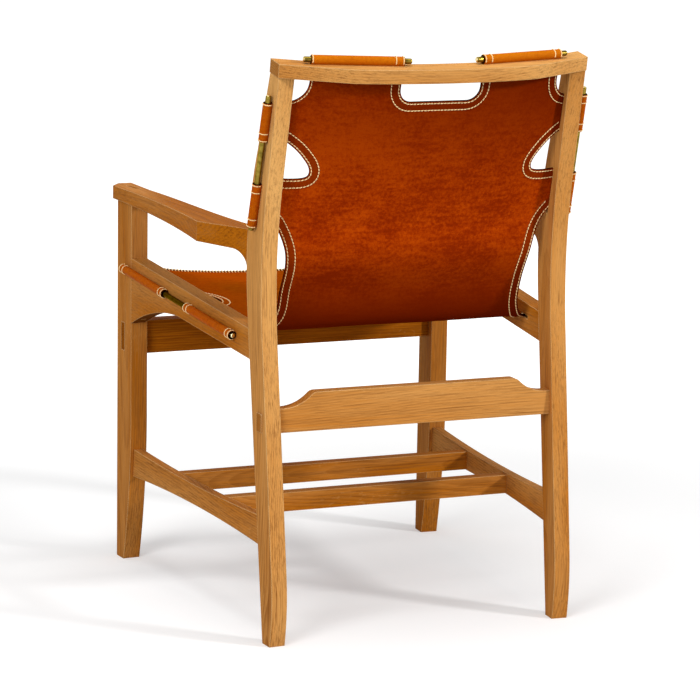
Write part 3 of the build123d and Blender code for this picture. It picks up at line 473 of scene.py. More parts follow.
@dataclass(frozen=True)
class LeatherFinish:
    """Drum-dyed saddle leather: cloudy outside, golden on its smooth side, dark on cut edges.

    A pair whose name ends in span holds the values between which a mask goes from 0 to 1.
    """

    name: str
    gloss: float
    roughness: float
    golden: Colour = srgb("be680a")
    bright: Colour = srgb("b44404")
    body: Colour = srgb("962b02")
    # The deep colour serves the real stains and specks, and also the painted shade at the top and the bend
    # of the back.
    deep: Colour = srgb("641801")
    band: Colour = srgb("6e2404")
    edge: Colour = srgb("1d0b05")
    clouds: Cloud = Cloud(7.0, 3.0, 0.55)
    mottle: Cloud = Cloud(190.0, 4.0, 0.7)
    specks: Cloud = Cloud(520.0, 3.0, 0.6)
    pulls: Cloud = Cloud(150.0, 3.0, 0.6, 0.22)
    creases: Cloud = Cloud(900.0, 2.0, 0.6)
    cell_scale: float = 1100.0
    cloud_contrast: float = 2.4
    mottle_contrast: float = 2.5
    pull_contrast: float = 1.5
    body_share: float = 0.46
    stain_weights: tuple[float, float, float] = (0.35, 0.4, 0.25)
    stain_span: Pair = (0.46, 0.68)
    stain_darkness: float = 0.5
    speck_darkness: float = 1.6
    band_darkness: float = 0.62
    top_shade_span: Pair = (0.62, 0.87)
    top_shade_darkness: float = 0.72
    top_shade_slant: float = 0.8
    bend_shade_span: Pair = (0.46, 0.65)
    bend_shade_reach_span: Pair = (0.06, 0.15)
    top_span: Pair = (0.88, 0.9)
    golden_share: float = 0.5
    golden_contrast: float = 0.9
    golden_top: float = 0.35
    rough_side_roughness: float = 0.1
    mottle_roughness: float = 0.2
    crease_relief: float = 0.6
    cell_relief: float = 0.5
    rough_side_relief: float = 0.7
    relief_depth: float = 0.00022
    relief_strength: float = 0.6

    def build(self) -> bpy.types.Material:
        """Make the material.

        Returns:
            The material of the sheet or of the wraps.
        """
        shader = Shader(bpy.data.materials.new(self.name))
        point = shader.place()
        x, y, z = shader.axes(point)
        clouds, mottle, specks, creases = (
            shader.clouds(point, cloud) for cloud in (self.clouds, self.mottle, self.specks, self.creases)
        )
        pulls = shader.clouds(shader.point(x * self.pulls.stretch, y, z), self.pulls)
        contrasts = (clouds - 0.5) * self.cloud_contrast + (mottle - 0.5) * self.mottle_contrast
        share = contrasts + (pulls - 0.5) * self.pull_contrast + self.body_share
        colour = shader.mix(share, self.bright, self.body)
        fine, broad, drawn = self.stain_weights
        stains = (mottle * fine + clouds * broad + pulls * drawn).step(*self.stain_span)
        colour = shader.mix(stains * self.stain_darkness, colour, self.deep)
        colour = shader.mix((specks - 0.5) * self.speck_darkness, colour, self.deep)
        rough_side = 1.0 - shader.mark("smooth")
        band = shader.mark("band")
        outside = rough_side + band
        # Painted shade on the outside: darker towards the top of the back, more so to the sitter's right,
        # and low on the back where it bends into the seat.
        top_shade = z.step(*self.top_shade_span) * (self.top_shade_darkness - x * self.top_shade_slant)
        bend_shade = (1.0 - z.step(*self.bend_shade_span)) * y.step(*self.bend_shade_reach_span)
        colour = shader.mix(band * self.band_darkness, colour, self.band)
        colour = shader.mix((top_shade + bend_shade) * outside, colour, self.deep)
        uneven = (clouds - 0.5) * self.golden_contrast - (mottle - 0.5) * self.golden_contrast
        golden = self.golden_share + uneven + z.step(*self.top_span) * self.golden_top
        colour = shader.mix((1.0 - outside) * golden, colour, self.golden)
        cells = shader.node("ShaderNodeTexVoronoi", {}, {"Vector": point, "Scale": self.cell_scale})
        grain = creases * self.crease_relief + cells * self.cell_relief
        height = grain + mottle * rough_side * self.rough_side_relief
        dullness = self.roughness + rough_side * self.rough_side_roughness
        return shader.surface(
            {
                "Base Color": shader.mix(shader.mark("rim"), colour, self.edge),
                "Roughness": dullness + (mottle - 0.5) * self.mottle_roughness,
                "Normal": shader.bump(height, self.relief_depth, self.relief_strength),
                "Specular IOR Level": self.gloss,
            }
        )


@dataclass(frozen=True)
class BrassFinish:
    """Drawn brass rod, waxed and dulled; its ends carry a painted highlight and are a little smoother."""

    name: str
    run: Run
    bright: Colour
    dull: Colour
    # The tip colour is a painted highlight on the rods' ends.
    tip: Colour = srgb("f2e2b0")
    sheen: Colour = srgb("e0c890")
    tarnish: Cloud = Cloud(90.0, 4.0, 0.6)
    scratches: Cloud = Cloud(1400.0, 2.0, 0.7)
    tarnish_span: Pair = (0.35, 0.75)
    tip_span: Pair = (0.55, 0.9)
    tip_highlight_share: float = 0.9
    roughness: float = 0.22
    tarnish_roughness: float = 0.14
    tip_polish: float = 0.08
    scratch_depth: float = 0.00005
    scratch_strength: float = 0.4

    def build(self) -> bpy.types.Material:
        """Make the material.

        Returns:
            The material of a pair of rods.
        """
        shader = Shader(bpy.data.materials.new(self.name))
        point = shader.place()
        tarnish = shader.clouds(point, self.tarnish)
        scratches = shader.clouds(point, self.scratches)
        normal = shader.node("ShaderNodeNewGeometry", output="Normal")
        # Painted highlight: the end faces of each rod are painted pale.
        tip = shader.maths("ABSOLUTE", shader.axes(normal)[self.run.value]).step(*self.tip_span)
        colour = shader.mix(tarnish.step(*self.tarnish_span), self.bright, self.dull)
        return shader.surface(
            {
                "Base Color": shader.mix(tip * self.tip_highlight_share, colour, self.tip),
                "Metallic": 1.0,
                "Specular Tint": self.sheen,
                "Roughness": self.roughness + tarnish * self.tarnish_roughness - tip * self.tip_polish,
                "Normal": shader.bump(scratches, self.scratch_depth, self.scratch_strength),
            }
        )


@dataclass(frozen=True)
class ThreadFinish:
    """Waxed linen thread."""

    name: str = "waxed_thread"
    light: Colour = srgb("ffeab4")
    shadow: Colour = srgb("eec27c")
    plies: Cloud = Cloud(1600.0, 2.0, 0.6)
    ply_span: Pair = (0.35, 0.65)
    ply_depth: float = 0.00015
    ply_strength: float = 0.6
    roughness: float = 0.6

    def build(self) -> bpy.types.Material:
        """Make the material.

        Returns:
            The material of the stitches.
        """
        shader = Shader(bpy.data.materials.new(self.name))
        plies = shader.clouds(shader.place(), self.plies)
        return shader.surface(
            {
                "Base Color": shader.mix(plies.step(*self.ply_span), self.light, self.shadow),
                "Roughness": self.roughness,
                "Normal": shader.bump(plies, self.ply_depth, self.ply_strength),
            }
        )


@dataclass
class Shape:
    """Points, faces and point marks that become one piece."""

    points: list[Vector] = field(default_factory=list)
    faces: list[tuple[int, ...]] = field(default_factory=list)
    marks: dict[str, dict[int, float]] = field(default_factory=dict)

    def add(self, point: Vector, **marks: float) -> int:
        """Add a point.

        Args:
            point: Its place.
            **marks: Numbers that the material reads there.

        Returns:
            The point's number.
        """
        self.points.append(point)
        number = len(self.points) - 1
        for name, value in marks.items():
            self.marks.setdefault(name, {})[number] = value
        return number

    def skin(self, rings: Sequence[Sequence[int]], flipped: bool = False) -> None:
        """Join closed rings of points with a band of faces from each to the next.

        Args:
            rings: Numbers of the points of each ring.
            flipped: Whether the faces look the other way.
        """
        for low, high in zip(rings, rings[1:]):
            for number in range(len(low)):
                onward = (number + 1) % len(low)
                face = (low[number], low[onward], high[onward], high[number])
                self.faces.append((face[0], *face[:0:-1]) if flipped else face)

    def tube(self, path: Sequence[Vector], radii: Sequence[float], sides: int) -> None:
        """Add a closed tube.

        Args:
            path: Points of its centre line.
            radii: Its radius at each point.
            sides: Number of its sides.
        """
        rings: list[list[int]] = []
        across = Vector((0.0, 0.0, 0.0))
        for number, (centre, radius) in enumerate(zip(path, radii)):
            before = path[max(0, number - 1)]
            after = path[min(len(path) - 1, number + 1)]
            heading = (after - before).normalized()
            if not across.length:
                across = heading.orthogonal().normalized()
            across = (across - heading * across.dot(heading)).normalized()
            other = heading.cross(across)
            ring = []
            for side in range(sides):
                turn = 2 * math.pi * side / sides
                offset = across * math.cos(turn) + other * math.sin(turn)
                ring.append(self.add(centre + offset * radius))
            rings.append(ring)
        self.skin(rings)
        self.faces.append(tuple(reversed(rings[0])))
        self.faces.append(tuple(rings[-1]))

    def build(self, name: str, material: bpy.types.Material) -> bpy.types.Object:
        """Make the Blender object, smooth and riding on the chair.

        Args:
            name: Name of the piece.
            material: Its material.

        Returns:
            The object.
        """
        mesh = bpy.data.meshes.new(name)
        mesh.from_pydata([tuple(point) for point in self.points], [], self.faces)
        for mark, values in self.marks.items():
            layer = mesh.attributes.new(mark, "FLOAT", "POINT")
            numbers = np.zeros(len(self.points), dtype=np.float32)
            numbers[list(values.keys())] = list(values.values())
            layer.data.foreach_set("value", numbers)
        mesh.polygons.foreach_set("use_smooth", [True] * len(mesh.polygons))
        mesh.materials.append(material)
        mesh.update()
        piece = bpy.data.objects.new(name, mesh)
        bpy.context.scene.collection.objects.link(piece)
        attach(piece, BODY)
        LOG.info("%s: %d points, %d faces", name, len(self.points), len(self.faces))
        return piece


@dataclass(frozen=True)
class SideFrame:
    """The plane of the left side frame, which is turned in plan."""

    half_width: float = 0.2742
    toe: float = math.radians(3.65)

    def plan(self, place: Numbers, depth: float) -> tuple[Numbers, Numbers]:
        """X and Y of a place along the frame at a depth inside its outer face."""
        sine, cosine = math.sin(self.toe), math.cos(self.toe)
        return self.half_width - place * sine - depth * cosine, place * cosine - depth * sine

    def point(self, place: float, height: float, depth: float) -> Vector:
        """Point of the side frame.

        Args:
            place: Distance along the frame, to the rear.
            height: Height above the floor.
            depth: Distance inside the frame's outer face.

        Returns:
            The point.
        """
        return Vector((*self.plan(place, depth), height))

    @property
    def outward(self) -> Vector:
        """Direction out of the frame's face."""
        return Vector((math.cos(self.toe), math.sin(self.toe), 0.0))


@dataclass(frozen=True)
class RodLine:
    """A rod's line on the side frame, through two points given by place and height."""

    low: Pair
    high: Pair

    def at_place(self, place: float) -> float:
        """Height at a place."""
        share = (place - self.low[0]) / (self.high[0] - self.low[0])
        return between(self.low[1], self.high[1], share)

    def at_height(self, height: float) -> float:
        """Place at a height."""
        share = (height - self.low[1]) / (self.high[1] - self.low[1])
        return between(self.low[0], self.high[0], share)

    @property
    def heading(self) -> Pair:
        """Unit direction from the low point to the high one."""
        run, rise = self.high[0] - self.low[0], self.high[1] - self.low[1]
        size = math.hypot(run, rise)
        return run / size, rise / size


SEAT_LINE = RodLine((-0.2965, 0.5046), (0.1325, 0.4686))
POST_LINE = RodLine((0.2205, 0.645), (0.2755, 0.845))


@dataclass(frozen=True)
class RailPlane:
    """The tilted plane on which the top rail sits."""

    seat_y: float = 0.2797
    seat_z: float = 0.8824
    tilt: float = math.radians(9.6)

    def height_over(self, y: Numbers, z: Numbers) -> Numbers:
        """Distance above the plane of one point or of many."""
        return (z - self.seat_z) * math.cos(self.tilt) + (y - self.seat_y) * math.sin(self.tilt)

    def point(self, x: float, bow: float, lift: float) -> Vector:
        """Point given in the plane's own frame.

        Args:
            x: Distance to the sitter's left.
            bow: Distance to the rear, in the plane.
            lift: Distance above the plane.

        Returns:
            The point.
        """
        sine, cosine = math.sin(self.tilt), math.cos(self.tilt)
        y = self.seat_y + bow * cosine + lift * sine
        return Vector((x, y, self.seat_z - bow * sine + lift * cosine))

    @property
    def upward(self) -> Vector:
        """Direction out of the plane."""
        return Vector((0.0, math.sin(self.tilt), math.cos(self.tilt)))


@dataclass(frozen=True)
class Ripple:
    """Unevenness of used leather: its height, its waves per metre and its place in the noise."""

    height: float
    across: float
    along: float
    place: float

    def lift(self, x: float, length: float) -> float:
        """Height over the smooth sheet."""
        return self.height * noise.noise(Vector((x * self.across, length * self.along, self.place)))


@dataclass
class SlingSurface:
    """The curved surface of the leather, by a distance across and a length along its side.

    The side line follows the seat rods, swings round the bend and climbs the post rods.
    Between the sides every cross line hangs away from the sitter by its sag.
    """

    side: SideFrame = field(default_factory=SideFrame)
    rail: RailPlane = field(default_factory=RailPlane)
    depth: float = 0.030
    front_place: float = -0.2905
    bend_place: float = 0.1331
    bend_points: tuple[Pair, ...] = (
        (0.1535, 0.4745), (0.1915, 0.546), (0.216, 0.596), (0.2205, 0.645),
    )
    top_height: float = 0.905
    front_sag: float = 0.019
    bend_sag: float = 0.001
    low_bow: float = 0.012
    top_bow: float = 0.0425
    bow_height: float = 0.9
    step: float = 0.002
    edge_softness: float = 0.02
    slot_inner: Pair = (0.065, 0.0422)
    slot_outer: Pair = (0.207, 0.01935)
    slot_blend: Pair = (0.055, 0.004)
    reach: float = 0.0015
    ripples: tuple[Ripple, ...] = (Ripple(0.0009, 9.0, 9.0, 0.7), Ripple(0.00028, 34.0, 26.0, 4.2))
    halvings: int = 24

    def __post_init__(self) -> None:
        """Work out the stations along the side line."""
        rows: list[tuple[float, float, float]] = []
        seat_length = self.bend_place - self.front_place
        for number in range(int(seat_length / self.step)):
            share = number * self.step / seat_length
            place = between(self.front_place, self.bend_place, share)
            rows.append((place, SEAT_LINE.at_place(place), between(self.front_sag, self.bend_sag, share**2)))
        bend = self.bend_curve()
        for number, (place, height) in enumerate(bend):
            share = eased(number / len(bend))
            rows.append((place, height, between(self.bend_sag, self.low_bow, share)))
        floor_shade_height = self.bend_points[-1][1]
        climb = self.top_height - floor_shade_height
        for number in range(int(climb / self.step) + 1):
            rise = number * self.step
            sag = between(self.low_bow, self.top_bow, rise / (self.bow_height - floor_shade_height))
            rows.append((POST_LINE.at_height(floor_shade_height + rise), floor_shade_height + rise, sag))
        table = np.array(rows)
        runs = np.hypot(np.diff(table[:, 0]), np.diff(table[:, 1]))
        self.lengths = np.concatenate([[0.0], np.cumsum(runs)])
        slopes = [np.gradient(table[:, column], self.lengths) for column in (0, 1)]
        size = np.hypot(*slopes)
        self.columns = [table[:, 0], table[:, 1], table[:, 2], slopes[0] / size, slopes[1] / size]
        self.length = float(self.lengths[-1])
        self.bend_length = float(self.lengths[int(seat_length / self.step)])

    def bend_curve(self) -> list[Pair]:
        """Points of the bend between the seat and the back.

        Returns:
            Places and heights, a step apart.
        """
        knots = [(self.bend_place, SEAT_LINE.at_place(self.bend_place)), *self.bend_points]
        spans = [math.dist(first, second) for first, second in zip(knots, knots[1:])]
        slopes: list[Pair] = [SEAT_LINE.heading]
        for i in range(1, len(knots) - 1):
            weight = spans[i] / (spans[i - 1] + spans[i])
            back = [(knots[i][k] - knots[i - 1][k]) / spans[i - 1] for k in (0, 1)]
            ahead = [(knots[i + 1][k] - knots[i][k]) / spans[i] for k in (0, 1)]
            slopes.append((between(ahead[0], back[0], weight), between(ahead[1], back[1], weight)))
        slopes.append(POST_LINE.heading)
        points = []
        for i, span in enumerate(spans):
            steps = max(2, int(span / self.step))
            ends = list(zip(knots[i], knots[i + 1], slopes[i], slopes[i + 1]))
            for number in range(steps):
                place, height = (
                    cubic(start, end, leave * span, arrive * span, number / steps)
                    for start, end, leave, arrive in ends
                )
                points.append((place, height))
        return points

    def half_width(self, length: float) -> float:
        """Half the width between the side edges at a length along the side."""
        place = float(np.interp(length, self.lengths, self.columns[0]))
        return self.side.point(place, 0.0, self.depth).x

    def sheet(self, x: np.ndarray, length: np.ndarray) -> tuple[np.ndarray, np.ndarray]:
        """Points of the leather's middle layer, before it settles.

        Args:
            x: Distances to the sitter's left.
            length: Distances along the side line from the front edge.

        Returns:
            The points, and the directions away from the sitter.
        """
        place, height, sag, run, rise = (np.interp(length, self.lengths, line) for line in self.columns)
        edge_x, edge_y = self.side.plan(place, self.depth)
        outward = np.stack([np.zeros_like(rise), rise, -run * math.cos(self.side.toe)], axis=1)
        outward /= np.linalg.norm(outward, axis=1)[:, None]
        rest = 1 - np.abs(x / edge_x) ** 3
        rest = (rest + np.sqrt(rest**2 + self.edge_softness**2)) / 2
        points = np.stack([x, edge_y, height], axis=1) + outward * (sag * rest)[:, None]
        below = -self.rail.height_over(points[:, 1], points[:, 2])
        far, near = self.slot_blend
        pull = self.slot_line(np.abs(x), below) - points[:, 1]
        points[:, 1] += pull * eased((far - below) / (far - near))
        return points, outward

    def slot_line(self, x: np.ndarray, below: np.ndarray) -> np.ndarray:
        """Y of the top rail's slot, carried down along the post's slope.

        Args:
            x: Distances from the chair's middle.
            below: Distances below the rail's underside.

        Returns:
            The Y of each point.
        """
        (x0, bow0), (x1, bow1) = self.slot_inner, self.slot_outer
        bow = between(bow0, bow1, np.maximum(0.0, (x - x0) / (x1 - x0)))
        run, rise = POST_LINE.heading
        return self.rail.seat_y + bow * math.cos(self.rail.tilt) - below * run / rise

    def points(self, x: np.ndarray, length: np.ndarray, lift: Numbers) -> np.ndarray:
        """Points of the settled leather, at heights over its middle layer.

        Args:
            x: Distances to the sitter's left.
            length: Distances along the side line from the front edge.
            lift: Heights over the middle layer, away from the sitter.

        Returns:
            The points, one in each row.
        """
        x, length = np.asarray(x, float), np.asarray(length, float)
        here, outward = self.sheet(x, length)
        across = self.sheet(x + self.reach, length)[0] - self.sheet(x - self.reach, length)[0]
        after = self.sheet(x, np.minimum(self.length, length + self.reach))[0]
        onward = after - self.sheet(x, np.maximum(0.0, length - self.reach))[0]
        normal = np.cross(across, onward)
        normal /= np.linalg.norm(normal, axis=1)[:, None]
        normal *= np.sign(np.sum(normal * outward, axis=1))[:, None]
        ripple = np.array([sum(wave.lift(*pair) for wave in self.ripples) for pair in zip(x, length)])
        return here + normal * (np.asarray(lift) + ripple)[:, None]

    def point(self, x: float, length: float, lift: float = 0.0) -> Vector:
        """One point of the settled leather.

        Args:
            x: Distance to the sitter's left.
            length: Distance along the side line from the front edge.
            lift: Height over the middle layer, away from the sitter.

        Returns:
            The point.
        """
        return Vector(self.points(np.array([x]), np.array([length]), lift)[0])

    def search(self, low: float, high: float, reached: Callable[[Vector], bool], x: float) -> float:
        """Length along the side at which a condition begins to hold.

        Args:
            low: A length before it.
            high: A length after it.
            reached: The condition, on a point of the leather.
            x: Distance to the sitter's left.

        Returns:
            The length.
        """
        for _ in range(self.halvings):
            middle = (low + high) / 2
            point = Vector(self.sheet(np.array([x]), np.array([middle]))[0][0])
            low, high = (low, middle) if reached(point) else (middle, high)
        return (low + high) / 2

    def length_at(self, x: float, height: float) -> float:
        """Length along the side at which the back's surface reaches a height."""
        return self.search(self.bend_length, self.length, lambda point: point.z >= height, x)

    def top_length(self, x: float, entry: float) -> float:
        """Length along the side at which the leather has entered the rail's slot."""
        return self.search(
            self.bend_length, self.length, lambda point: self.rail.height_over(point.y, point.z) >= entry, x
        )

    def length_of_place(self, place: float) -> float:
        """Length along the side at a place of the seat."""
        return (place - self.front_place) / SEAT_LINE.heading[0]


class Seam(Enum):
    """What an edge of the pattern is."""

    CUT = "cut and stitched"
    SLOT = "runs into a slot"
    FRONT = "bound front edge"


@dataclass
class Edge:
    """One stretch of the pattern's outline, as points across and along.

    The rows are the distances of its stitch rows from it, and band says whether a band backs it.
    """

    kind: Seam
    points: list[Pair]
    rows: tuple[float, ...] = ()
    band: bool = True

    def mirrored(self) -> "Edge":
        """The same stretch on the other side of the chair, its points in reverse order."""
        return replace(self, points=[(-x, v) for x, v in reversed(self.points)])


def curve_through(knots: Sequence[Pair], step: float) -> list[Pair]:
    """Smooth curve through points of the pattern.

    Args:
        knots: The points that it passes.
        step: Distance between the curve's points, about.

    Returns:
        Points of the curve, with both ends.
    """
    padded = [
        (2 * knots[0][0] - knots[1][0], 2 * knots[0][1] - knots[1][1]),
        *knots,
        (2 * knots[-1][0] - knots[-2][0], 2 * knots[-1][1] - knots[-2][1]),
    ]
    points = []
    for number in range(1, len(padded) - 2):
        near = padded[number - 1:number + 3]
        before, here, after = (max(1e-9, math.dist(*pair)) ** 0.5 for pair in zip(near, near[1:]))
        steps = max(1, round(math.dist(near[1], near[2]) / step))
        ends = []
        for p0, p1, p2, p3 in zip(*near):
            leave = (p2 - p1) + here * ((p1 - p0) / before - (p2 - p0) / (before + here))
            arrive = (p2 - p1) + here * ((p3 - p2) / after - (p3 - p1) / (here + after))
            ends.append((p1, p2, leave, arrive))
        for part in range(steps):
            points.append(tuple(cubic(*end, part / steps) for end in ends))
    points.append(tuple(knots[-1]))
    return points


def resampled(points: Sequence[Pair], step: float) -> list[Pair]:
    """The same line with points at even distances.

    Args:
        points: The line.
        step: Distance between points, about.

    Returns:
        The even points, with both ends.
    """
    line = np.array(points)
    runs = np.concatenate([[0.0], np.cumsum(np.hypot(*np.diff(line, axis=0).T))])
    count = max(1, round(runs[-1] / step))
    marks = np.linspace(0.0, runs[-1], count + 1)
    return list(zip(np.interp(marks, runs, line[:, 0]), np.interp(marks, runs, line[:, 1])))


def shifted(points: Sequence[Pair], distance: float) -> list[Pair]:
    """A line moved sideways, to its left.

    Args:
        points: The line.
        distance: How far it moves.

    Returns:
        The moved points.
    """
    line = np.array(points)
    heading = np.gradient(line, axis=0)
    heading /= np.hypot(heading[:, 0], heading[:, 1])[:, None]
    left = np.stack([-heading[:, 1], heading[:, 0]], axis=1)
    return [tuple(point) for point in line + left * distance]


def nearest(points: np.ndarray, others: np.ndarray) -> np.ndarray:
    """Distance from each point to the nearest of the others.

    Args:
        points: Places on the pattern, one in each row.
        others: The places to measure to.

    Returns:
        One distance for each point.
    """
    gaps = [np.hypot(points[:, 0] - x, points[:, 1] - y) for x, y in others]
    return np.min(gaps, axis=0)


@dataclass
class SlingPattern:
    """The flat cut of the leather: its outline, bands and stitch rows."""

    surface: SlingSurface
    tab_depth: float = 0.0215
    spacing: float = 0.0026
    inner_row: float = 0.0035
    outer_row: float = 0.0150
    band_width: float = 0.0172
    seat_hole: Pair = (-0.1118, -0.0231)
    seat_hole_depth: float = 0.0430
    seat_hole_lean: float = -0.0119
    bend_hole_start: float = 0.1345
    bend_hole_knots: tuple[Pair, ...] = (
        (0.2220, 0.4770), (0.2085, 0.5000), (0.2068, 0.5400), (0.2075, 0.5800),
        (0.2115, 0.6080), (0.2200, 0.6320), (0.2290, 0.6480),
    )
    bend_hole_end: float = 0.6580
    side_hole_bottom: float = 0.7215
    side_hole_knots: tuple[Pair, ...] = (
        (0.1955, 0.7217), (0.1888, 0.7245), (0.1868, 0.7310), (0.1895, 0.7400),
        (0.1995, 0.7540), (0.2110, 0.7665), (0.2260, 0.7785),
    )
    side_hole_top: float = 0.7840
    corner_knots: tuple[Pair, ...] = (
        (0.2240, 0.8435), (0.2145, 0.8500), (0.2080, 0.8600), (0.2062, 0.8700),
    )
    corner_start: float = 0.8400
    hand_half_width: float = 0.0660
    hand_bottom: float = 0.8405
    hand_corner: float = 0.0200
    slot_entry: float = 0.0040
    hole_lead: float = 0.001
    notch_mouth: float = 0.2150
    bend_end_length: float = 0.7
    notch_x: float = 0.23
    corner_x: float = 0.225
    hole_steps: int = 40
    top_points: int = 40
    seam_points: int = 12
    hand_corner_steps: int = 12
    hand_bottom_steps: int = 10

    @property
    def rows(self) -> Pair:
        """Distances of both stitch rows from the cut edge."""
        return self.inner_row, self.outer_row

    def edge_x(self, length: float) -> float:
        """Half the pattern's width where it runs into the slots."""
        return self.surface.half_width(length) + self.surface.depth - self.tab_depth

    def at_edge(self, length: float) -> Pair:
        """Pattern point in the side slot at a length."""
        return self.edge_x(length), length

    def at_top(self, x: float) -> Pair:
        """Pattern point in the top rail's slot."""
        return x, self.surface.top_length(x, self.slot_entry)

    def on_back(self, knots: Iterable[Pair]) -> list[Pair]:
        """Pattern points of places on the back.

        Args:
            knots: Distances to the left and heights.

        Returns:
            Distances to the left and lengths along the side.
        """
        return [(x, self.surface.length_at(x, height)) for x, height in knots]

    def seat_cut(self) -> list[Pair]:
        """Side hole of the seat, a bow that leans to the front.

        Returns:
            Its points, from the front to the rear.
        """
        start, end = (self.surface.length_of_place(place) for place in self.seat_hole)
        middle, radius = (start + end) / 2, (end - start) / 2
        centre = self.surface.half_width(middle)
        line = [(self.edge_x(start), start - self.hole_lead)]
        for number in range(self.hole_steps + 1):
            turn = math.pi * number / self.hole_steps
            along = middle - radius * math.cos(turn) + self.seat_hole_lean * math.sin(turn)
            line.append((centre - self.seat_hole_depth * math.sin(turn), along))
        return [*line, (self.edge_x(end), end + self.hole_lead)]

    def back_cuts(self) -> list[list[Pair]]:
        """Side cuts of the back: the bend's, the notch above it and the one at the corner.

        Returns:
            The points of each, from below upward.
        """
        surface = self.surface
        start = surface.length_of_place(self.bend_hole_start)
        end = surface.length_at(surface.half_width(self.bend_end_length), self.bend_hole_end)
        bend = [self.at_edge(start), *self.on_back(self.bend_hole_knots), self.at_edge(end)]
        low, high = (surface.length_at(self.notch_x, z) for z in (self.side_hole_bottom, self.side_hole_top))
        mouth = [self.at_edge(low), (self.notch_mouth, low)]
        notch = [*mouth, *self.on_back(self.side_hole_knots), self.at_edge(high)]
        start = surface.length_at(self.corner_x, self.corner_start)
        corner = [self.at_edge(start), *self.on_back(self.corner_knots)]
        corner.append(self.at_top(corner[-1][0]))
        return [curve_through(cut, self.spacing) for cut in (bend, notch, corner)]

    def hand_cut(self, top: float) -> list[Pair]:
        """Left half of the hand hole, with its rounded lower corner.

        Args:
            top: Length along the side at which it starts.

        Returns:
            Its points, down its side and in to the middle.
        """
        centre = (self.hand_half_width - self.hand_corner, self.hand_bottom + self.hand_corner)
        places = []
        for number in range(self.hand_corner_steps + 1):
            turn = math.pi / 2 * number / self.hand_corner_steps
            across, down = self.hand_corner * math.cos(turn), self.hand_corner * math.sin(turn)
            places.append((centre[0] + across, centre[1] - down))
        for number in range(1, self.hand_bottom_steps + 1):
            places.append((centre[0] * (1 - number / self.hand_bottom_steps), self.hand_bottom))
        return [(self.hand_half_width, top), *self.on_back(places)]

    def half(self) -> list[Edge]:
        """Outline of the left half, from the middle of the front edge to the hand hole's middle.

        Returns:
            The stretches, each starting where the last one ended.
        """
        edges = [Edge(Seam.FRONT, [(0.0, 0.0), self.at_edge(0.0)])]
        end = 0.0
        for cut in (self.seat_cut(), *self.back_cuts()):
            edges.append(self.seam(end, cut[0][1]))
            edges.append(Edge(Seam.CUT, cut, self.rows))
            end = cut[-1][1]
        edges[-1] = replace(edges[-1], rows=(self.inner_row,), band=False)
        start = edges[-1].points[-1][0]
        top = [self.at_top(x) for x in np.linspace(start, self.hand_half_width, self.top_points)]
        return [*edges, Edge(Seam.SLOT, top), Edge(Seam.CUT, self.hand_cut(top[-1][1]), self.rows)]

    def seam(self, start: float, end: float) -> Edge:
        """Stretch that runs into a side slot.

        Args:
            start: Length along the side where it starts.
            end: Length along the side where it ends.

        Returns:
            The stretch.
        """
        return Edge(Seam.SLOT, [self.at_edge(v) for v in np.linspace(start, end, self.seam_points)])

    def outline(self) -> list[Edge]:
        """The whole outline, anticlockwise, with the left half first.

        Returns:
            The stretches of the closed outline.
        """
        left = self.half()
        right = []
        for edge in reversed(left):
            bare = edge.kind is Seam.CUT and not edge.band
            right.append(replace(edge.mirrored(), rows=self.rows, band=True) if bare else edge.mirrored())
        hand = Edge(Seam.CUT, left[-1].points + right[0].points[1:], left[-1].rows)
        front = Edge(Seam.FRONT, right[-1].points[:-1] + left[0].points)
        return [front, *left[1:-1], hand, *right[1:-1]]


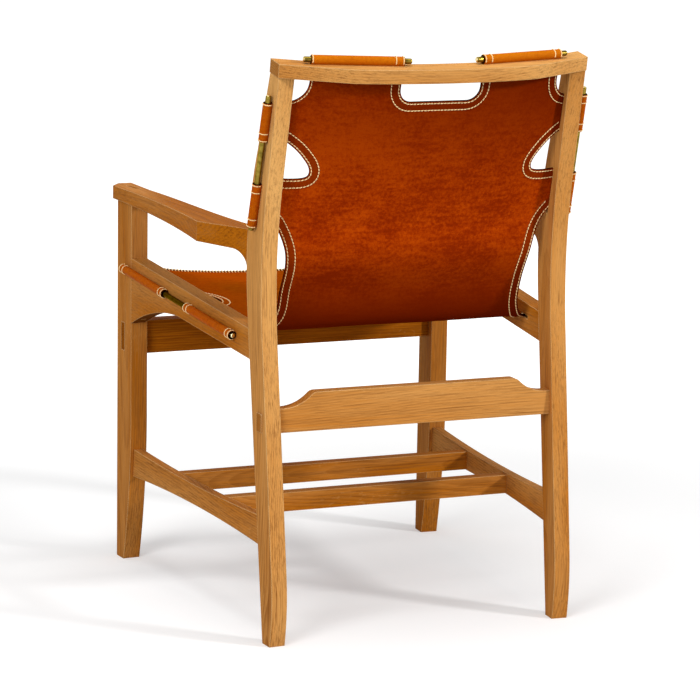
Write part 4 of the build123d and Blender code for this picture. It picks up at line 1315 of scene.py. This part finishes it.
@dataclass
class Leather:
    """The sling itself: a sheet with bands, cut edges, stitches and a rolled front edge.

    The band lines are the distances of the mesh's lines from a cut edge. An edge with no band has
    only the first few, the bare lines. The stitch rises are heights in thread radii at shares of a
    stitch's length, and the rim steps give the inset and the height of the sheet's edge in shares.
    A whip bend gives a stitch's length and lift there, in shares of its way round, and its drift.
    """

    surface: SlingSurface
    pattern: SlingPattern
    thickness: float = LEATHER_THICKNESS
    band_height: float = 0.0008
    band_ramp: float = 0.0012
    band_lines: tuple[float, ...] = (0.0022, 0.0035, 0.0048, 0.0080, 0.0115, 0.0138, 0.0150)
    bare_lines: int = 4
    dip_width: float = 0.0011
    dip_depth: float = 0.42
    grid: float = 0.0062
    grid_gap: float = 0.003
    band_gap: float = 0.0055
    cut_gap: float = 0.010
    weld: float = 1e-6
    probe: float = 0.006
    band_pitch: float = 0.003
    band_margin: float = 0.0005
    clear_share: float = 0.6
    line_pitch: float = 0.0022
    rim: float = 0.0008
    rim_steps: tuple[Pair, ...] = ((0.3, 0.82), (0.0, 0.4), (0.0, -0.4), (0.3, -0.82))
    stitch_pitch: float = 0.0056
    stitch_length: float = 0.0043
    stitch_slant: float = 0.00022
    stitch_taper: float = 0.85
    stitch_rises: tuple[Pair, ...] = ((0.0, -0.8), (0.12, 0.35), (0.5, 0.75), (0.88, 0.35), (1.0, -0.8))
    stitch_sides: int = 6
    level_step: float = 0.001
    thread_radius: float = THREAD_RADIUS
    whip_pitch: float = 0.0057
    whip_reach: float = 0.0049
    whip_drift: float = 0.0016
    whip_rise: float = 0.2
    whip_standoff: float = 0.5
    whip_bends: tuple[tuple[float, float, float], ...] = ((-0.3, 0.95, 0.0004), (0.6, 0.8, 0.0009))
    whip_swell: float = 1.2
    whip_taper: float = 0.8
    whip_sides: int = 7
    whip_margin: float = 0.004
    burnish: float = 0.0035
    roll_radius: float = 0.0028
    roll_margin: float = 0.001
    roll_points: int = 80
    roll_sides: int = 12
    roll_darkness: float = 0.85

    def __post_init__(self) -> None:
        """Cut the pattern and gather its stitched edges."""
        self.edges = self.pattern.outline()
        self.cuts = [
            (edge, resampled(edge.points, self.line_pitch)) for edge in self.edges if edge.kind is Seam.CUT
        ]
        self.banded = np.array([point for edge, line in self.cuts if edge.band for point in line])
        self.all_cut = np.array([point for _, line in self.cuts for point in line])
        self.loop = [
            point for edge in self.edges for point in resampled(edge.points, self.pattern.spacing)[:-1]
        ]

    def area(self) -> float:
        """Flat area inside the outline, in square metres."""
        outline = np.array([point for edge in self.edges for point in edge.points])
        onward = np.roll(outline, -1, axis=0)
        return abs(float(np.sum(outline[:, 0] * onward[:, 1] - onward[:, 0] * outline[:, 1]))) / 2

    def from_band(self, points: np.ndarray) -> np.ndarray:
        """Distances of pattern points from the nearest cut edge with a band."""
        return nearest(points, self.banded)

    def band_lift(self, distance: np.ndarray) -> np.ndarray:
        """Height of the band over the sheet, with a dip under each stitch row.

        Args:
            distance: Distances from the cut edge.

        Returns:
            The heights.
        """
        share = eased((self.pattern.band_width - distance) / self.band_ramp)
        dip = sum(np.exp(-(((distance - row) / self.dip_width) ** 2)) for row in self.pattern.rows)
        return self.band_height * share * (1 - self.dip_depth * np.minimum(1.0, dip))

    def inside(self, points: np.ndarray) -> np.ndarray:
        """Whether pattern points lie inside the outline.

        Args:
            points: Places on the pattern, one in each row.

        Returns:
            A truth value for each point.
        """
        first = np.array(self.loop)
        second = np.roll(first, -1, axis=0)
        x, y = points[:, 0][:, None], points[:, 1][:, None]
        crosses = (first[:, 1] > y) != (second[:, 1] > y)
        rise = second[:, 1] - first[:, 1]
        slope = (second[:, 0] - first[:, 0]) / np.where(rise == 0, 1.0, rise)
        hits = crosses & (x < first[:, 0] + slope * (y - first[:, 1]))
        return hits.sum(axis=1) % 2 == 1

    def band_rows(self, points: list[Pair], links: list[tuple[int, int]]) -> None:
        """Add lines of points along the bands, each linked to the next.

        Args:
            points: Points of the flat mesh so far.
            links: Pairs of the numbers of points that share an edge.
        """
        boundary = np.array(self.loop)
        width = self.pattern.band_width
        rows = (*self.band_lines, width - self.band_ramp, width, width + self.band_pitch)
        for edge, line in self.cuts:
            for distance in rows if edge.band else rows[:self.bare_lines]:
                moved = np.array(resampled(shifted(line, -distance * self.turn(line)), self.band_pitch))
                clear = nearest(moved, boundary) >= min(distance, self.pattern.inner_row) * self.clear_share
                last = None
                for point, fits in zip(moved, clear & self.inside(moved)):
                    if not fits:
                        last = None
                        continue
                    points.append(tuple(point))
                    if last is not None:
                        links.append((last, len(points) - 1))
                    last = len(points) - 1

    def triangles(self) -> tuple[np.ndarray, list[tuple[int, ...]], int]:
        """Flat mesh of the pattern, with lines along its bands.

        Returns:
            The pattern's points, its triangles, and how many of the points are the outline.
        """
        count = len(self.loop)
        points = [tuple(point) for point in self.inset_loop(self.rim)]
        links = [(number, (number + 1) % count) for number in range(count)]
        self.band_rows(points, links)
        boundary = np.array(self.loop)
        rise = self.grid * math.sqrt(3) / 2
        wide, high = boundary.max(axis=0)
        columns = int(wide / self.grid) + 2
        grid = np.array(
            [
                ((column + 0.5 * (line % 2)) * self.grid, line * rise)
                for line in range(int(high / rise) + 1)
                for column in range(-columns, columns)
            ]
        )
        clear = nearest(grid, boundary) >= self.grid_gap
        clear &= self.from_band(grid) >= self.pattern.band_width + self.band_gap
        clear &= nearest(grid, self.all_cut) >= self.cut_gap
        points.extend(tuple(point) for point in grid[clear & self.inside(grid)])
        flat = [Vector(point) for point in points]
        made, _, faces, *_ = geometry.delaunay_2d_cdt(flat, links, [list(range(count))], 1, self.weld)
        if len(made) < len(points):
            LOG.warning("the pattern's mesh joined %d points", len(points) - len(made))
        return np.array([(p[0], p[1]) for p in made]), [tuple(face) for face in faces], count

    def turn(self, line: Sequence[Pair]) -> int:
        """Side of a stitched line on which the leather lies: 1 for its right."""
        moved = np.array(shifted(line, -self.probe))
        return 1 if self.inside(moved[len(moved) // 2][None, :])[0] else -1

    def inset_loop(self, distance: float) -> np.ndarray:
        """The outline moved inward.

        Args:
            distance: How far it moves.

        Returns:
            The moved points, one for each point of the outline.
        """
        line = np.array(self.loop)
        heading = np.roll(line, -1, axis=0) - np.roll(line, 1, axis=0)
        heading /= np.hypot(heading[:, 0], heading[:, 1])[:, None]
        return line + np.stack([-heading[:, 1], heading[:, 0]], axis=1) * distance

    def layer(self, shape: Shape, flat: np.ndarray, lift: Numbers, **marks: Numbers) -> list[int]:
        """Add one layer of points over the pattern.

        Args:
            shape: The piece so far.
            flat: Places on the pattern, one in each row.
            lift: Heights over the middle layer.
            **marks: Numbers that the material reads, for all points or for each.

        Returns:
            Numbers of the new points.
        """
        places = self.surface.points(flat[:, 0], flat[:, 1], lift)
        spread = {name: np.broadcast_to(value, len(flat)) for name, value in marks.items()}
        return [
            shape.add(Vector(place), **{name: float(value[number]) for name, value in spread.items()})
            for number, place in enumerate(places)
        ]

    def build_sheet(self, material: bpy.types.Material) -> bpy.types.Object:
        """Make the leather sheet as one closed mesh.

        Args:
            material: The leather.

        Returns:
            The piece.
        """
        flat, faces, count = self.triangles()
        shape = Shape()
        half = self.thickness / 2
        banded = self.from_band(flat)
        on_band = (banded < self.pattern.band_width - self.band_margin).astype(float)
        outer = self.layer(shape, flat, half + self.band_lift(banded), band=on_band, smooth=on_band, rim=0.0)
        burnished = np.clip(1 - flat[:, 1] / self.burnish, 0.0, 1.0)
        inner = self.layer(shape, flat, -half, band=0.0, smooth=1.0, rim=burnished)
        for face in faces:
            shape.faces.append(tuple(outer[number] for number in face))
            shape.faces.append(tuple(inner[number] for number in reversed(face)))
        lines = [outer[:count]]
        for inset_share, lift_share in self.rim_steps:
            ring = self.inset_loop(self.rim * inset_share)
            top = half + self.band_lift(self.from_band(ring)) * (lift_share > 0)
            lines.append(self.layer(shape, ring, top * lift_share, band=0.0, smooth=1.0, rim=1.0))
        shape.skin([*lines, inner[:count]], flipped=True)
        return shape.build("sling_leather", material)

    def stitch(self, shape: Shape, start: Vector, end: Vector, normal: Vector) -> None:
        """Add one stitch that rises out of the leather and dives back.

        Args:
            shape: The stitches so far.
            start: Hole where it comes out.
            end: Hole where it goes in.
            normal: Direction out of the leather.
        """
        along = (end - start).normalized()
        across = along.cross(normal).normalized() * self.stitch_slant
        path, radii = [], []
        for share, rise in self.stitch_rises:
            over = normal * (rise * self.thread_radius)
            path.append(start.lerp(end, share) + over + across * (1 - 2 * share))
            radii.append(self.thread_radius * (self.stitch_taper if share in (0.0, 1.0) else 1.0))
        shape.tube(path, radii, self.stitch_sides)

    def build_rows(self, material: bpy.types.Material) -> list[bpy.types.Object]:
        """Make the stitch rows on both faces of the sheet.

        Args:
            material: The thread.

        Returns:
            The pieces.
        """
        outside, inside = Shape(), Shape()
        half = self.thickness / 2
        share = (self.stitch_pitch - self.stitch_length) / 2 / self.stitch_pitch
        for edge, cut in self.cuts:
            turn = self.turn(cut)
            for row in edge.rows:
                line = shifted(cut, -row * turn)
                kept = self.inside(np.array(line))
                line = resampled([point for point, fits in zip(line, kept) if fits], self.stitch_pitch)
                lift = float(self.band_lift(np.array(row))) if edge.band else 0.0
                for (x0, v0), (x1, v1) in zip(line, line[1:]):
                    ends = [(between(x0, x1, s), between(v0, v1, s)) for s in (share, 1 - share)]
                    for shape, level, sense in ((outside, half + lift, 1), (inside, -half, -1)):
                        start, end = (self.surface.point(x, v, level) for x, v in ends)
                        over = self.surface.point(*ends[0], level + self.level_step * sense)
                        self.stitch(shape, start, end, (over - start).normalized())
        return [outside.build("stitching_outside", material), inside.build("stitching_inside", material)]

    def build_whip(self, material: bpy.types.Material) -> bpy.types.Object:
        """Make the whipped stitches over the front edge.

        Args:
            material: The thread.

        Returns:
            The piece.
        """
        shape = Shape()
        radius = self.thread_radius * self.whip_swell
        around = self.roll_radius + radius * self.whip_standoff
        half = self.thickness / 2
        width = self.surface.half_width(0.0) - self.whip_margin
        count = round(2 * width / self.whip_pitch)
        above = [(around * out, around * rise, drift) for out, rise, drift in self.whip_bends]
        above.append((self.whip_reach, half + radius * self.whip_rise, self.whip_drift))
        below = [(length, -lift, -drift) for length, lift, drift in reversed(above)]
        route = [*below, (-around, 0.0, 0.0), *above]
        for number in range(count + 1):
            x = between(-width, width, number / count)
            path = []
            for length, lift, drift in route:
                inside = max(0.0, length)
                point = self.surface.point(x + drift, inside, lift)
                onward = self.surface.point(x + drift, inside + self.surface.step, lift) - point
                path.append(point + onward.normalized() * (length - inside))
            tip = radius * self.whip_taper
            shape.tube(path, [tip, *[radius] * (len(path) - 2), tip], self.whip_sides)
        return shape.build("front_edge_whipping", material)

    def build_roll(self, material: bpy.types.Material) -> bpy.types.Object:
        """Make the dark rolled edge along the front of the seat.

        Args:
            material: The leather.

        Returns:
            The piece.
        """
        shape = Shape()
        width = self.surface.half_width(0.0) - self.roll_margin
        path = [self.surface.point(x, 0.0) for x in np.linspace(-width, width, self.roll_points)]
        shape.tube(path, [self.roll_radius] * len(path), self.roll_sides)
        for name, value in (("rim", self.roll_darkness), ("smooth", 1.0), ("band", 0.0)):
            shape.marks[name] = dict.fromkeys(range(len(shape.points)), value)
        return shape.build("front_edge_roll", material)

    def build(self, leather: bpy.types.Material, thread: bpy.types.Material) -> list[bpy.types.Object]:
        """Make the sheet and all that is sewn on it.

        Args:
            leather: Material of the sheet.
            thread: Material of the stitches.

        Returns:
            The sheet first, and then its stitching.
        """
        sheet = self.build_sheet(leather)
        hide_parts("sling_sheet")
        return [sheet, self.build_roll(leather), *self.build_rows(thread), self.build_whip(thread)]


@dataclass(frozen=True)
class Wrap:
    """One tab of the leather, folded round a rod and pushed double through its slot.

    The rim's profile says, at shares of the rim, how much the leather thins and how dark it is.
    The ring rises are heights in thread radii at shares of one stitch of a ring.
    """

    name: str
    start: Vector
    heading: Vector
    outward: Vector
    length: float
    neck: float
    rings: tuple[float, ...]
    rod_radius: float = 0.0046
    thickness: float = LEATHER_THICKNESS
    thread_radius: float = THREAD_RADIUS
    ply_gap: float = 0.0001
    throat: Pair = (0.004, 0.0008)
    throat_swell: float = 1.05
    opening: float = math.radians(128)
    fold_steps: int = 26
    fold_step: float = 0.0008
    fold_pitch: float = 0.0009
    rim: float = 0.0007
    rim_profile: tuple[tuple[float, float, float], ...] = (
        (0.0, -0.35, 1.0), (0.35, -0.1, 0.7), (1.0, 0.0, 0.0),
    )
    pitch: float = 0.0035
    swell: float = 0.00015
    swell_waves: tuple[float, float, float] = (60.0, 9.0, 9.0)
    dent_width: float = 0.0012
    dent_depth: float = 0.0002
    ring_count: int = 8
    ring_reach: float = math.radians(122)
    ring_lift: float = 0.1
    ring_rises: tuple[Pair, ...] = ((0.04, -0.9), (0.14, 0.2), (0.5, 0.45), (0.86, 0.2), (0.96, -0.9))
    ring_sides: int = 6

    @property
    def across(self) -> Vector:
        """Direction square to the rod and to the way out."""
        return self.heading.cross(self.outward).normalized()

    def section(self) -> list[tuple[Vector, Vector]]:
        """Middle line of the folded leather, square to the rod.

        Returns:
            Points and outward directions, from one end in the slot to the other.
        """
        radius = self.rod_radius + self.thickness / 2
        pinch = self.thickness / 2 + self.ply_gap
        deep, shallow = self.throat
        knots = [(-ROD_STANDOFF - self.neck, pinch), (-ROD_STANDOFF - deep, pinch)]
        knots.append((-ROD_STANDOFF - shallow, pinch * self.throat_swell))
        for number in range(self.fold_steps + 1):
            turn = between(self.opening, -self.opening, number / self.fold_steps)
            knots.append((radius * math.cos(turn), radius * math.sin(turn)))
        knots += [(out, -side) for out, side in reversed(knots[:3])]
        line = resampled(curve_through(knots, self.fold_step), self.fold_pitch)
        across = self.across
        result = []
        for number, (out, side) in enumerate(line):
            before, after = line[max(0, number - 1)], line[min(len(line) - 1, number + 1)]
            run = Vector((after[0] - before[0], after[1] - before[1])).normalized()
            normal = self.outward * -run[1] + across * run[0]
            result.append((self.outward * out + across * side, normal))
        if result[len(result) // 2][1].dot(self.outward) < 0:
            result = [(point, -normal) for point, normal in result]
        return [(result[0][0], result[1][1]), *result[1:]]

    def stations(self) -> list[tuple[float, float, float]]:
        """Places along the rod, with how much the leather thins and how dark it is there.

        Returns:
            The places from one cut edge to the other, thinner and dark at both.
        """
        ends = [(self.rim * share, squeeze, dark) for share, squeeze, dark in self.rim_profile]
        inner = np.arange(self.pitch, self.length - self.pitch, self.pitch)
        far = [(self.length - place, squeeze, dark) for place, squeeze, dark in reversed(ends)]
        return [*ends, *[(float(place), 0.0, 0.0) for place in inner], *far]

    def build(self, leather: bpy.types.Material, stitches: Shape) -> bpy.types.Object:
        """Make the wrap and add its stitch rings.

        Args:
            leather: Material of the wrap.
            stitches: Gathers the stitches.

        Returns:
            The piece.
        """
        shape = Shape()
        section = self.section()
        half = self.thickness / 2
        along, x_waves, z_waves = self.swell_waves
        loops = []
        for place, squeeze, dark in self.stations():
            dent = sum(math.exp(-(((place - ring) / self.dent_width) ** 2)) for ring in self.rings)
            waves = Vector((place * along, self.start.x * x_waves, self.start.z * z_waves))
            relief = noise.noise(waves) * self.swell - dent * self.dent_depth
            loop = []
            for sense, line, uneven in ((1, section, relief), (-1, list(reversed(section)), 0.0)):
                for point, normal in line:
                    reach = half * sense * (1 + squeeze) + uneven
                    where = self.start + self.heading * place + point + normal * reach
                    loop.append(shape.add(where, rim=dark, smooth=1.0, band=0.0))
            loops.append(loop)
        shape.skin(loops)
        count = len(loops[0])
        for loop, flip in ((loops[0], True), (loops[-1], False)):
            for number in range(len(section) - 1):
                face = (loop[number], loop[number + 1], loop[count - 2 - number], loop[count - 1 - number])
                shape.faces.append(tuple(reversed(face)) if flip else face)
        self.add_rings(stitches)
        return shape.build(self.name, leather)

    def add_rings(self, stitches: Shape) -> None:
        """Add the stitch rings of this wrap.

        Args:
            stitches: Gathers the stitches.
        """
        across = self.across
        radius = self.rod_radius + self.thickness + self.thread_radius * self.ring_lift
        for ring in self.rings:
            centre = self.start + self.heading * ring
            for number in range(self.ring_count):
                path = []
                for share, rise in self.ring_rises:
                    turn = between(-self.ring_reach, self.ring_reach, (number + share) / self.ring_count)
                    out = self.outward * math.cos(turn) + across * math.sin(turn)
                    path.append(centre + out * (radius + rise * self.thread_radius))
                stitches.tube(path, [self.thread_radius] * len(path), self.ring_sides)


@dataclass(frozen=True)
class Loop:
    """Place of a wrap on its rod: its node, where it starts and how long it is.

    A lone one has a single stitch ring, not two, at its far end on the chair's left side.
    """

    node: str
    start: float
    length: float
    lone: bool = False


@dataclass
class RodWraps:
    """All wraps on the six rods, left and right."""

    surface: SlingSurface
    side: SideFrame = field(default_factory=SideFrame)
    rail: RailPlane = field(default_factory=RailPlane)
    loops: tuple[tuple[RodLine, Loop], ...] = (
        (POST_LINE, Loop("back_loop_lower", 0.001, 0.071)),
        (POST_LINE, Loop("back_loop_upper", 0.141, 0.062, lone=True)),
        (SEAT_LINE, Loop("seat_loop_front", 0.006, 0.179)),
        (SEAT_LINE, Loop("seat_loop_rear", 0.274, 0.178)),
    )
    neck: float = 0.0190
    top_neck_share: float = 0.9
    rail_height: float = 0.0215
    near_ring: float = 0.0020
    far_ring: float = 0.0135

    def rings(self, length: float, lone: bool) -> tuple[float, ...]:
        """Places of the stitch rings on a wrap.

        Args:
            length: Length of the wrap.
            lone: Whether its far end has one ring only.

        Returns:
            Distances along the rod.
        """
        far = [] if lone else [length - self.far_ring]
        return (self.near_ring, self.far_ring, *far, length - self.near_ring)

    def wrap(
        self, loop: Loop, side: str, ends: tuple[Vector, Vector], outward: Vector, neck: float
    ) -> Wrap:
        """One wrap, given by the rod's line on the left side.

        Args:
            loop: Its place.
            side: The side of the chair that it is on.
            ends: Two points of the rod's axis.
            outward: Direction out of the wood.
            neck: Length of the doubled tab in the wood.

        Returns:
            The wrap.
        """
        sign = SIDES[side]
        flip = Vector((sign, 1.0, 1.0))
        heading = (ends[1] - ends[0]).normalized()
        return Wrap(
            f"{loop.node}_wrap_{side}",
            (ends[0] + heading * loop.start) * flip,
            heading * flip,
            outward * flip,
            loop.length,
            neck,
            self.rings(loop.length, loop.lone and sign > 0),
        )

    def wraps(self, side: str) -> dict[str, Wrap]:
        """The wraps of one side.

        Args:
            side: The side of the chair.

        Returns:
            The wraps, by the node that each stands for.
        """
        made = {}
        for line, loop in self.loops:
            ends = tuple(self.side.point(*place, -ROD_STANDOFF) for place in (line.low, line.high))
            made[loop.node] = self.wrap(loop, side, ends, self.side.outward, self.neck)
        slot = (self.surface.slot_inner, self.surface.slot_outer)
        ends = tuple(self.rail.point(*place, self.rail_height + ROD_STANDOFF) for place in slot)
        top = Loop("top_loop", 0.0, (ends[1] - ends[0]).length, lone=True)
        made[top.node] = self.wrap(top, side, ends, self.rail.upward, self.neck * self.top_neck_share)
        return made

    def build(self, leather: bpy.types.Material, thread: bpy.types.Material) -> list[bpy.types.Object]:
        """Make all wraps and their stitch rings.

        Args:
            leather: Material of the wraps.
            thread: Material of the stitches.

        Returns:
            The pieces.
        """
        made = []
        stitches = Shape()
        for side in SIDES:
            for node, wrap in self.wraps(side).items():
                piece = wrap.build(leather, stitches)
                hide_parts(f"{node}_{side}")
                made.append(piece)
        made.append(stitches.build("wrap_stitch_rings", thread))
        return made


@dataclass
class Sling:
    """The whole sling: its sheet with the stitching, and the wraps that hold it on the rods."""

    surface: SlingSurface = field(default_factory=SlingSurface)
    hide: LeatherFinish = LeatherFinish("sling_hide", 0.0, 0.5, srgb("924a04"))
    tabs: LeatherFinish = LeatherFinish("wrap_hide", 0.005, 0.42)
    thread: ThreadFinish = ThreadFinish()

    def build(self) -> None:
        hide, tabs, thread = (finish.build() for finish in (self.hide, self.tabs, self.thread))
        pattern = SlingPattern(self.surface)
        leather = Leather(self.surface, pattern)
        sheet, *sewn = leather.build(hide, thread)
        wraps = RodWraps(self.surface).build(tabs, thread)
        width, length = 2 * pattern.edge_x(0.0), pattern.at_top(pattern.hand_half_width)[1]
        area = leather.area()
        LOG.info("sling cut: %.3f by %.3f m, %.3f square metres", width, length, area)
        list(sewn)
        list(wraps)


def dress(node: str, material: bpy.types.Material) -> None:
    """Put a material on a node of the model.

    Args:
        node: Name of the node.
        material: Its material.
    """
    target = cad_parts[node]
    if not target.material_slots:
        target.data.materials.append(material)
    for slot in target.material_slots:
        slot.material = material
    LOG.info("%s: %s", node, material.name)


@dataclass(frozen=True)
class OakFrame:
    """The boards of the frame, each cut from its own place in the log.

    The nodes whose names begin with plain_sawn cross the year rings at a flatter angle.
    """

    plain_sawn: str = "cross_stretcher"
    plain_slope: float = 0.07
    plain_figure: float = 0.62

    def boards(self) -> dict[str, OakFinish]:
        """Finish of every oak node.

        Returns:
            The finishes, by node.
        """
        # The last number of each board is its tone, partly the board's own and partly painted shade: boards
        # that stand in shade, such as the arms, front legs, seat rails and apron, and the right rear post
        # get darker tones than the lit rear posts and top rail.
        plan = {
            "rear_post_left": (Run.UPRIGHT, (-0.16, -0.30), 0.2),
            "rear_post_right": (Run.UPRIGHT, (0.34, -0.22), 0.8),
            "front_leg_left": (Run.UPRIGHT, (-0.42, 0.28), 0.78),
            "front_leg_right": (Run.UPRIGHT, (0.18, 0.36), 0.9),
            "arm_left": (Run.DEEP, (-0.56, -0.22), 1.12),
            "arm_right": (Run.DEEP, (-0.70, 0.20), 1.05),
            "seat_rail_left": (Run.DEEP, (-0.60, -0.16), 0.9),
            "seat_rail_right": (Run.DEEP, (-0.40, 0.14), 0.9),
            "side_stretcher_left": (Run.DEEP, (-0.10, -0.30), 0.6),
            "side_stretcher_right": (Run.DEEP, (-0.30, 0.20), 0.75),
            "top_rail": (Run.ACROSS, (-0.27, -0.82), 0.3),
            "front_apron": (Run.ACROSS, (0.25, -0.30), 1.35),
            "rear_stretcher": (Run.ACROSS, (-0.20, -0.28), 0.6),
            "cross_stretcher_front": (Run.ACROSS, (0.150, -0.160), 1.08),
            "cross_stretcher_rear": (Run.ACROSS, (-0.03, -0.188), 0.88),
            "top_rail_dowels": (Run.UPRIGHT, (0.10, -0.10), 0.2),
        }
        boards = {node: OakFinish(f"oak_{node}", *cut) for node, cut in plan.items()}
        for node, finish in boards.items():
            if node.startswith(self.plain_sawn):
                boards[node] = replace(finish, slope=self.plain_slope, figure=self.plain_figure)
        return boards

    def dress(self) -> None:
        """Put the finishes on the nodes."""
        for node, finish in self.boards().items():
            dress(node, finish.build())


@dataclass(frozen=True)
class BrassRods:
    """The six rods, all of one waxed brass: the seat's rods get a darker copy of it, which is painted shade.
    """

    waxed: tuple[Colour, Colour] = (srgb("8e7830"), srgb("4c3e12"))
    # Painted shade: the seat's rods, which lie in shade, get a darker copy of the brass.
    shaded_seat_tones: tuple[Colour, Colour] = (srgb("3c300e"), srgb("1e1606"))

    def dress(self) -> None:
        """Put the finishes on the nodes."""
        finishes = {
            "post": BrassFinish("post_brass", Run.UPRIGHT, *self.waxed),
            "seat": BrassFinish("seat_brass_shaded", Run.DEEP, *self.shaded_seat_tones),
            "top": BrassFinish("top_brass", Run.ACROSS, *self.waxed),
        }
        for place, finish in finishes.items():
            brass = finish.build()
            for side in SIDES:
                dress(f"{place}_rod_{side}", brass)


@dataclass(frozen=True)
class Lamp:
    """A soft lamp that looks at the chair."""

    name: str
    azimuth: float
    elevation: float
    distance: float
    size: float
    power: float

    def build(self, target: Vector) -> None:
        """Make the lamp.

        Args:
            target: Point that it looks at.
        """
        data = bpy.data.lights.new(self.name, "AREA")
        data.shape = "DISK"
        data.size = self.size
        data.energy = self.power
        lamp = bpy.data.objects.new(self.name, data)
        away = direction(self.azimuth, self.elevation)
        lamp.location = target + away * self.distance
        lamp.rotation_euler = away.to_track_quat("Z", "Y").to_euler()
        bpy.context.scene.collection.objects.link(lamp)


@dataclass
class Studio:
    """Pale floor, soft lamps and the camera."""

    floor_size: float = 30.0
    floor_colour: float = 0.68
    near_glow: float = 0.36
    far_glow: float = 0.95
    glow_radii: Pair = (0.8, 2.4)
    ambient: float = 0.23
    camera_place: Vector = field(default_factory=lambda: Vector((1.9585, 4.5995, 1.3486)))
    azimuth: float = 157.01
    elevation: float = 10.749
    roll: float = 0.967
    focal_pixels: float = 3117.9
    image_pixels: float = 700.0
    sensor: float = 36.0
    target: Vector = field(default_factory=lambda: Vector((0.0, 0.0, 0.45)))
    white: Colour = (1.0, 1.0, 1.0, 1.0)
    lamps: tuple[Lamp, ...] = (
        Lamp("key", 224.0, 23.0, 7.0, 0.9, 285.0),
        Lamp("top", 150.0, 80.0, 3.4, 2.2, 64.0),
        Lamp("fill", 128.0, 22.0, 5.0, 2.2, 116.0),
        Lamp("front", 20.0, 38.0, 4.8, 2.6, 13.0),
    )

    def seen_ray(self, shader: Shader) -> Signal:
        """Tell the rays that see a white background from those that only carry light.

        Args:
            shader: Where the nodes go.

        Returns:
            1 for rays from the camera, from a gloss or through glass, and else 0.
        """
        ray = shader.node("ShaderNodeLightPath", output="Is Camera Ray")
        outputs = ray.socket.node.outputs
        total = ray
        for name in ("Is Glossy Ray", "Is Transmission Ray"):
            total = shader.maths("MAXIMUM", total, Signal(shader, outputs[name]))
        return total

    def build_floor(self) -> None:
        """Make the floor, pale where it is lit and grey in the shadows."""
        shader = Shader(bpy.data.materials.new("studio_floor"))
        level = self.floor_colour
        diffuse = shader.node("ShaderNodeBsdfDiffuse", {}, {"Color": (level, level, level, 1.0)})
        distance = shader.length(shader.place()).step(*self.glow_radii)
        strength = self.seen_ray(shader) * (distance * (self.far_glow - self.near_glow) + self.near_glow)
        glow = shader.node("ShaderNodeEmission", {}, {"Color": self.white, "Strength": strength})
        shader.show(shader.node("ShaderNodeAddShader", {}, {0: diffuse, 1: glow}))
        half = self.floor_size / 2
        mesh = bpy.data.meshes.new("floor")
        corners = [(-half, -half, 0.0), (half, -half, 0.0), (half, half, 0.0), (-half, half, 0.0)]
        mesh.from_pydata(corners, [], [(0, 1, 2, 3)])
        mesh.materials.append(shader.owner)
        floor = bpy.data.objects.new("floor", mesh)
        bpy.context.scene.collection.objects.link(floor)
        floor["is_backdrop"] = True

    def build_world(self) -> None:
        """Make the surroundings: white to the camera, softer as a light."""
        world = bpy.data.worlds.new("studio")
        bpy.context.scene.world = world
        shader = Shader(world)
        strength = self.seen_ray(shader) * (1.0 - self.ambient) + self.ambient
        back = shader.node("ShaderNodeBackground", {}, {"Color": self.white, "Strength": strength})
        shader.node("ShaderNodeOutputWorld", {}, {"Surface": back})

    def build_camera(self) -> None:
        """Put the camera where the photograph was taken from."""
        back, roll = direction(self.azimuth, self.elevation), math.radians(self.roll)
        level = (-back).cross(Vector((0.0, 0.0, 1.0))).normalized()
        upright = level.cross(-back)
        right = level * math.cos(roll) + upright * math.sin(roll)
        up = upright * math.cos(roll) - level * math.sin(roll)
        data = bpy.data.cameras.new("camera")
        data.sensor_width = self.sensor
        data.lens = self.focal_pixels * self.sensor / self.image_pixels
        camera = bpy.data.objects.new("camera", data)
        turn = Matrix((right, up, back)).transposed().to_4x4()
        camera.matrix_world = Matrix.Translation(self.camera_place) @ turn
        bpy.context.scene.collection.objects.link(camera)
        bpy.context.scene.camera = camera

    def build(self) -> None:
        """Make the whole studio."""
        self.build_floor()
        self.build_world()
        self.build_camera()
        for lamp in self.lamps:
            lamp.build(self.target)
        bpy.context.scene.view_settings.view_transform = "Standard"


def write_sizes() -> None:
    """Log the model's box and the dressed part's box."""
    boxes = {"cad": CAD_BOUNDS, "visual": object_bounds()}
    plain = {name: [list(corner) for corner in corners] for name, corners in boxes.items()}
    LOG.info("boxes: %s", plain)


def main() -> None:
    """Build the studio, dress the oak and the brass, and make the leather."""
    logging.basicConfig(level=logging.INFO, format="%(message)s")
    Studio().build()
    OakFrame().dress()
    BrassRods().dress()
    Sling().build()
    write_sizes()


if __name__ == "__main__":
    main()
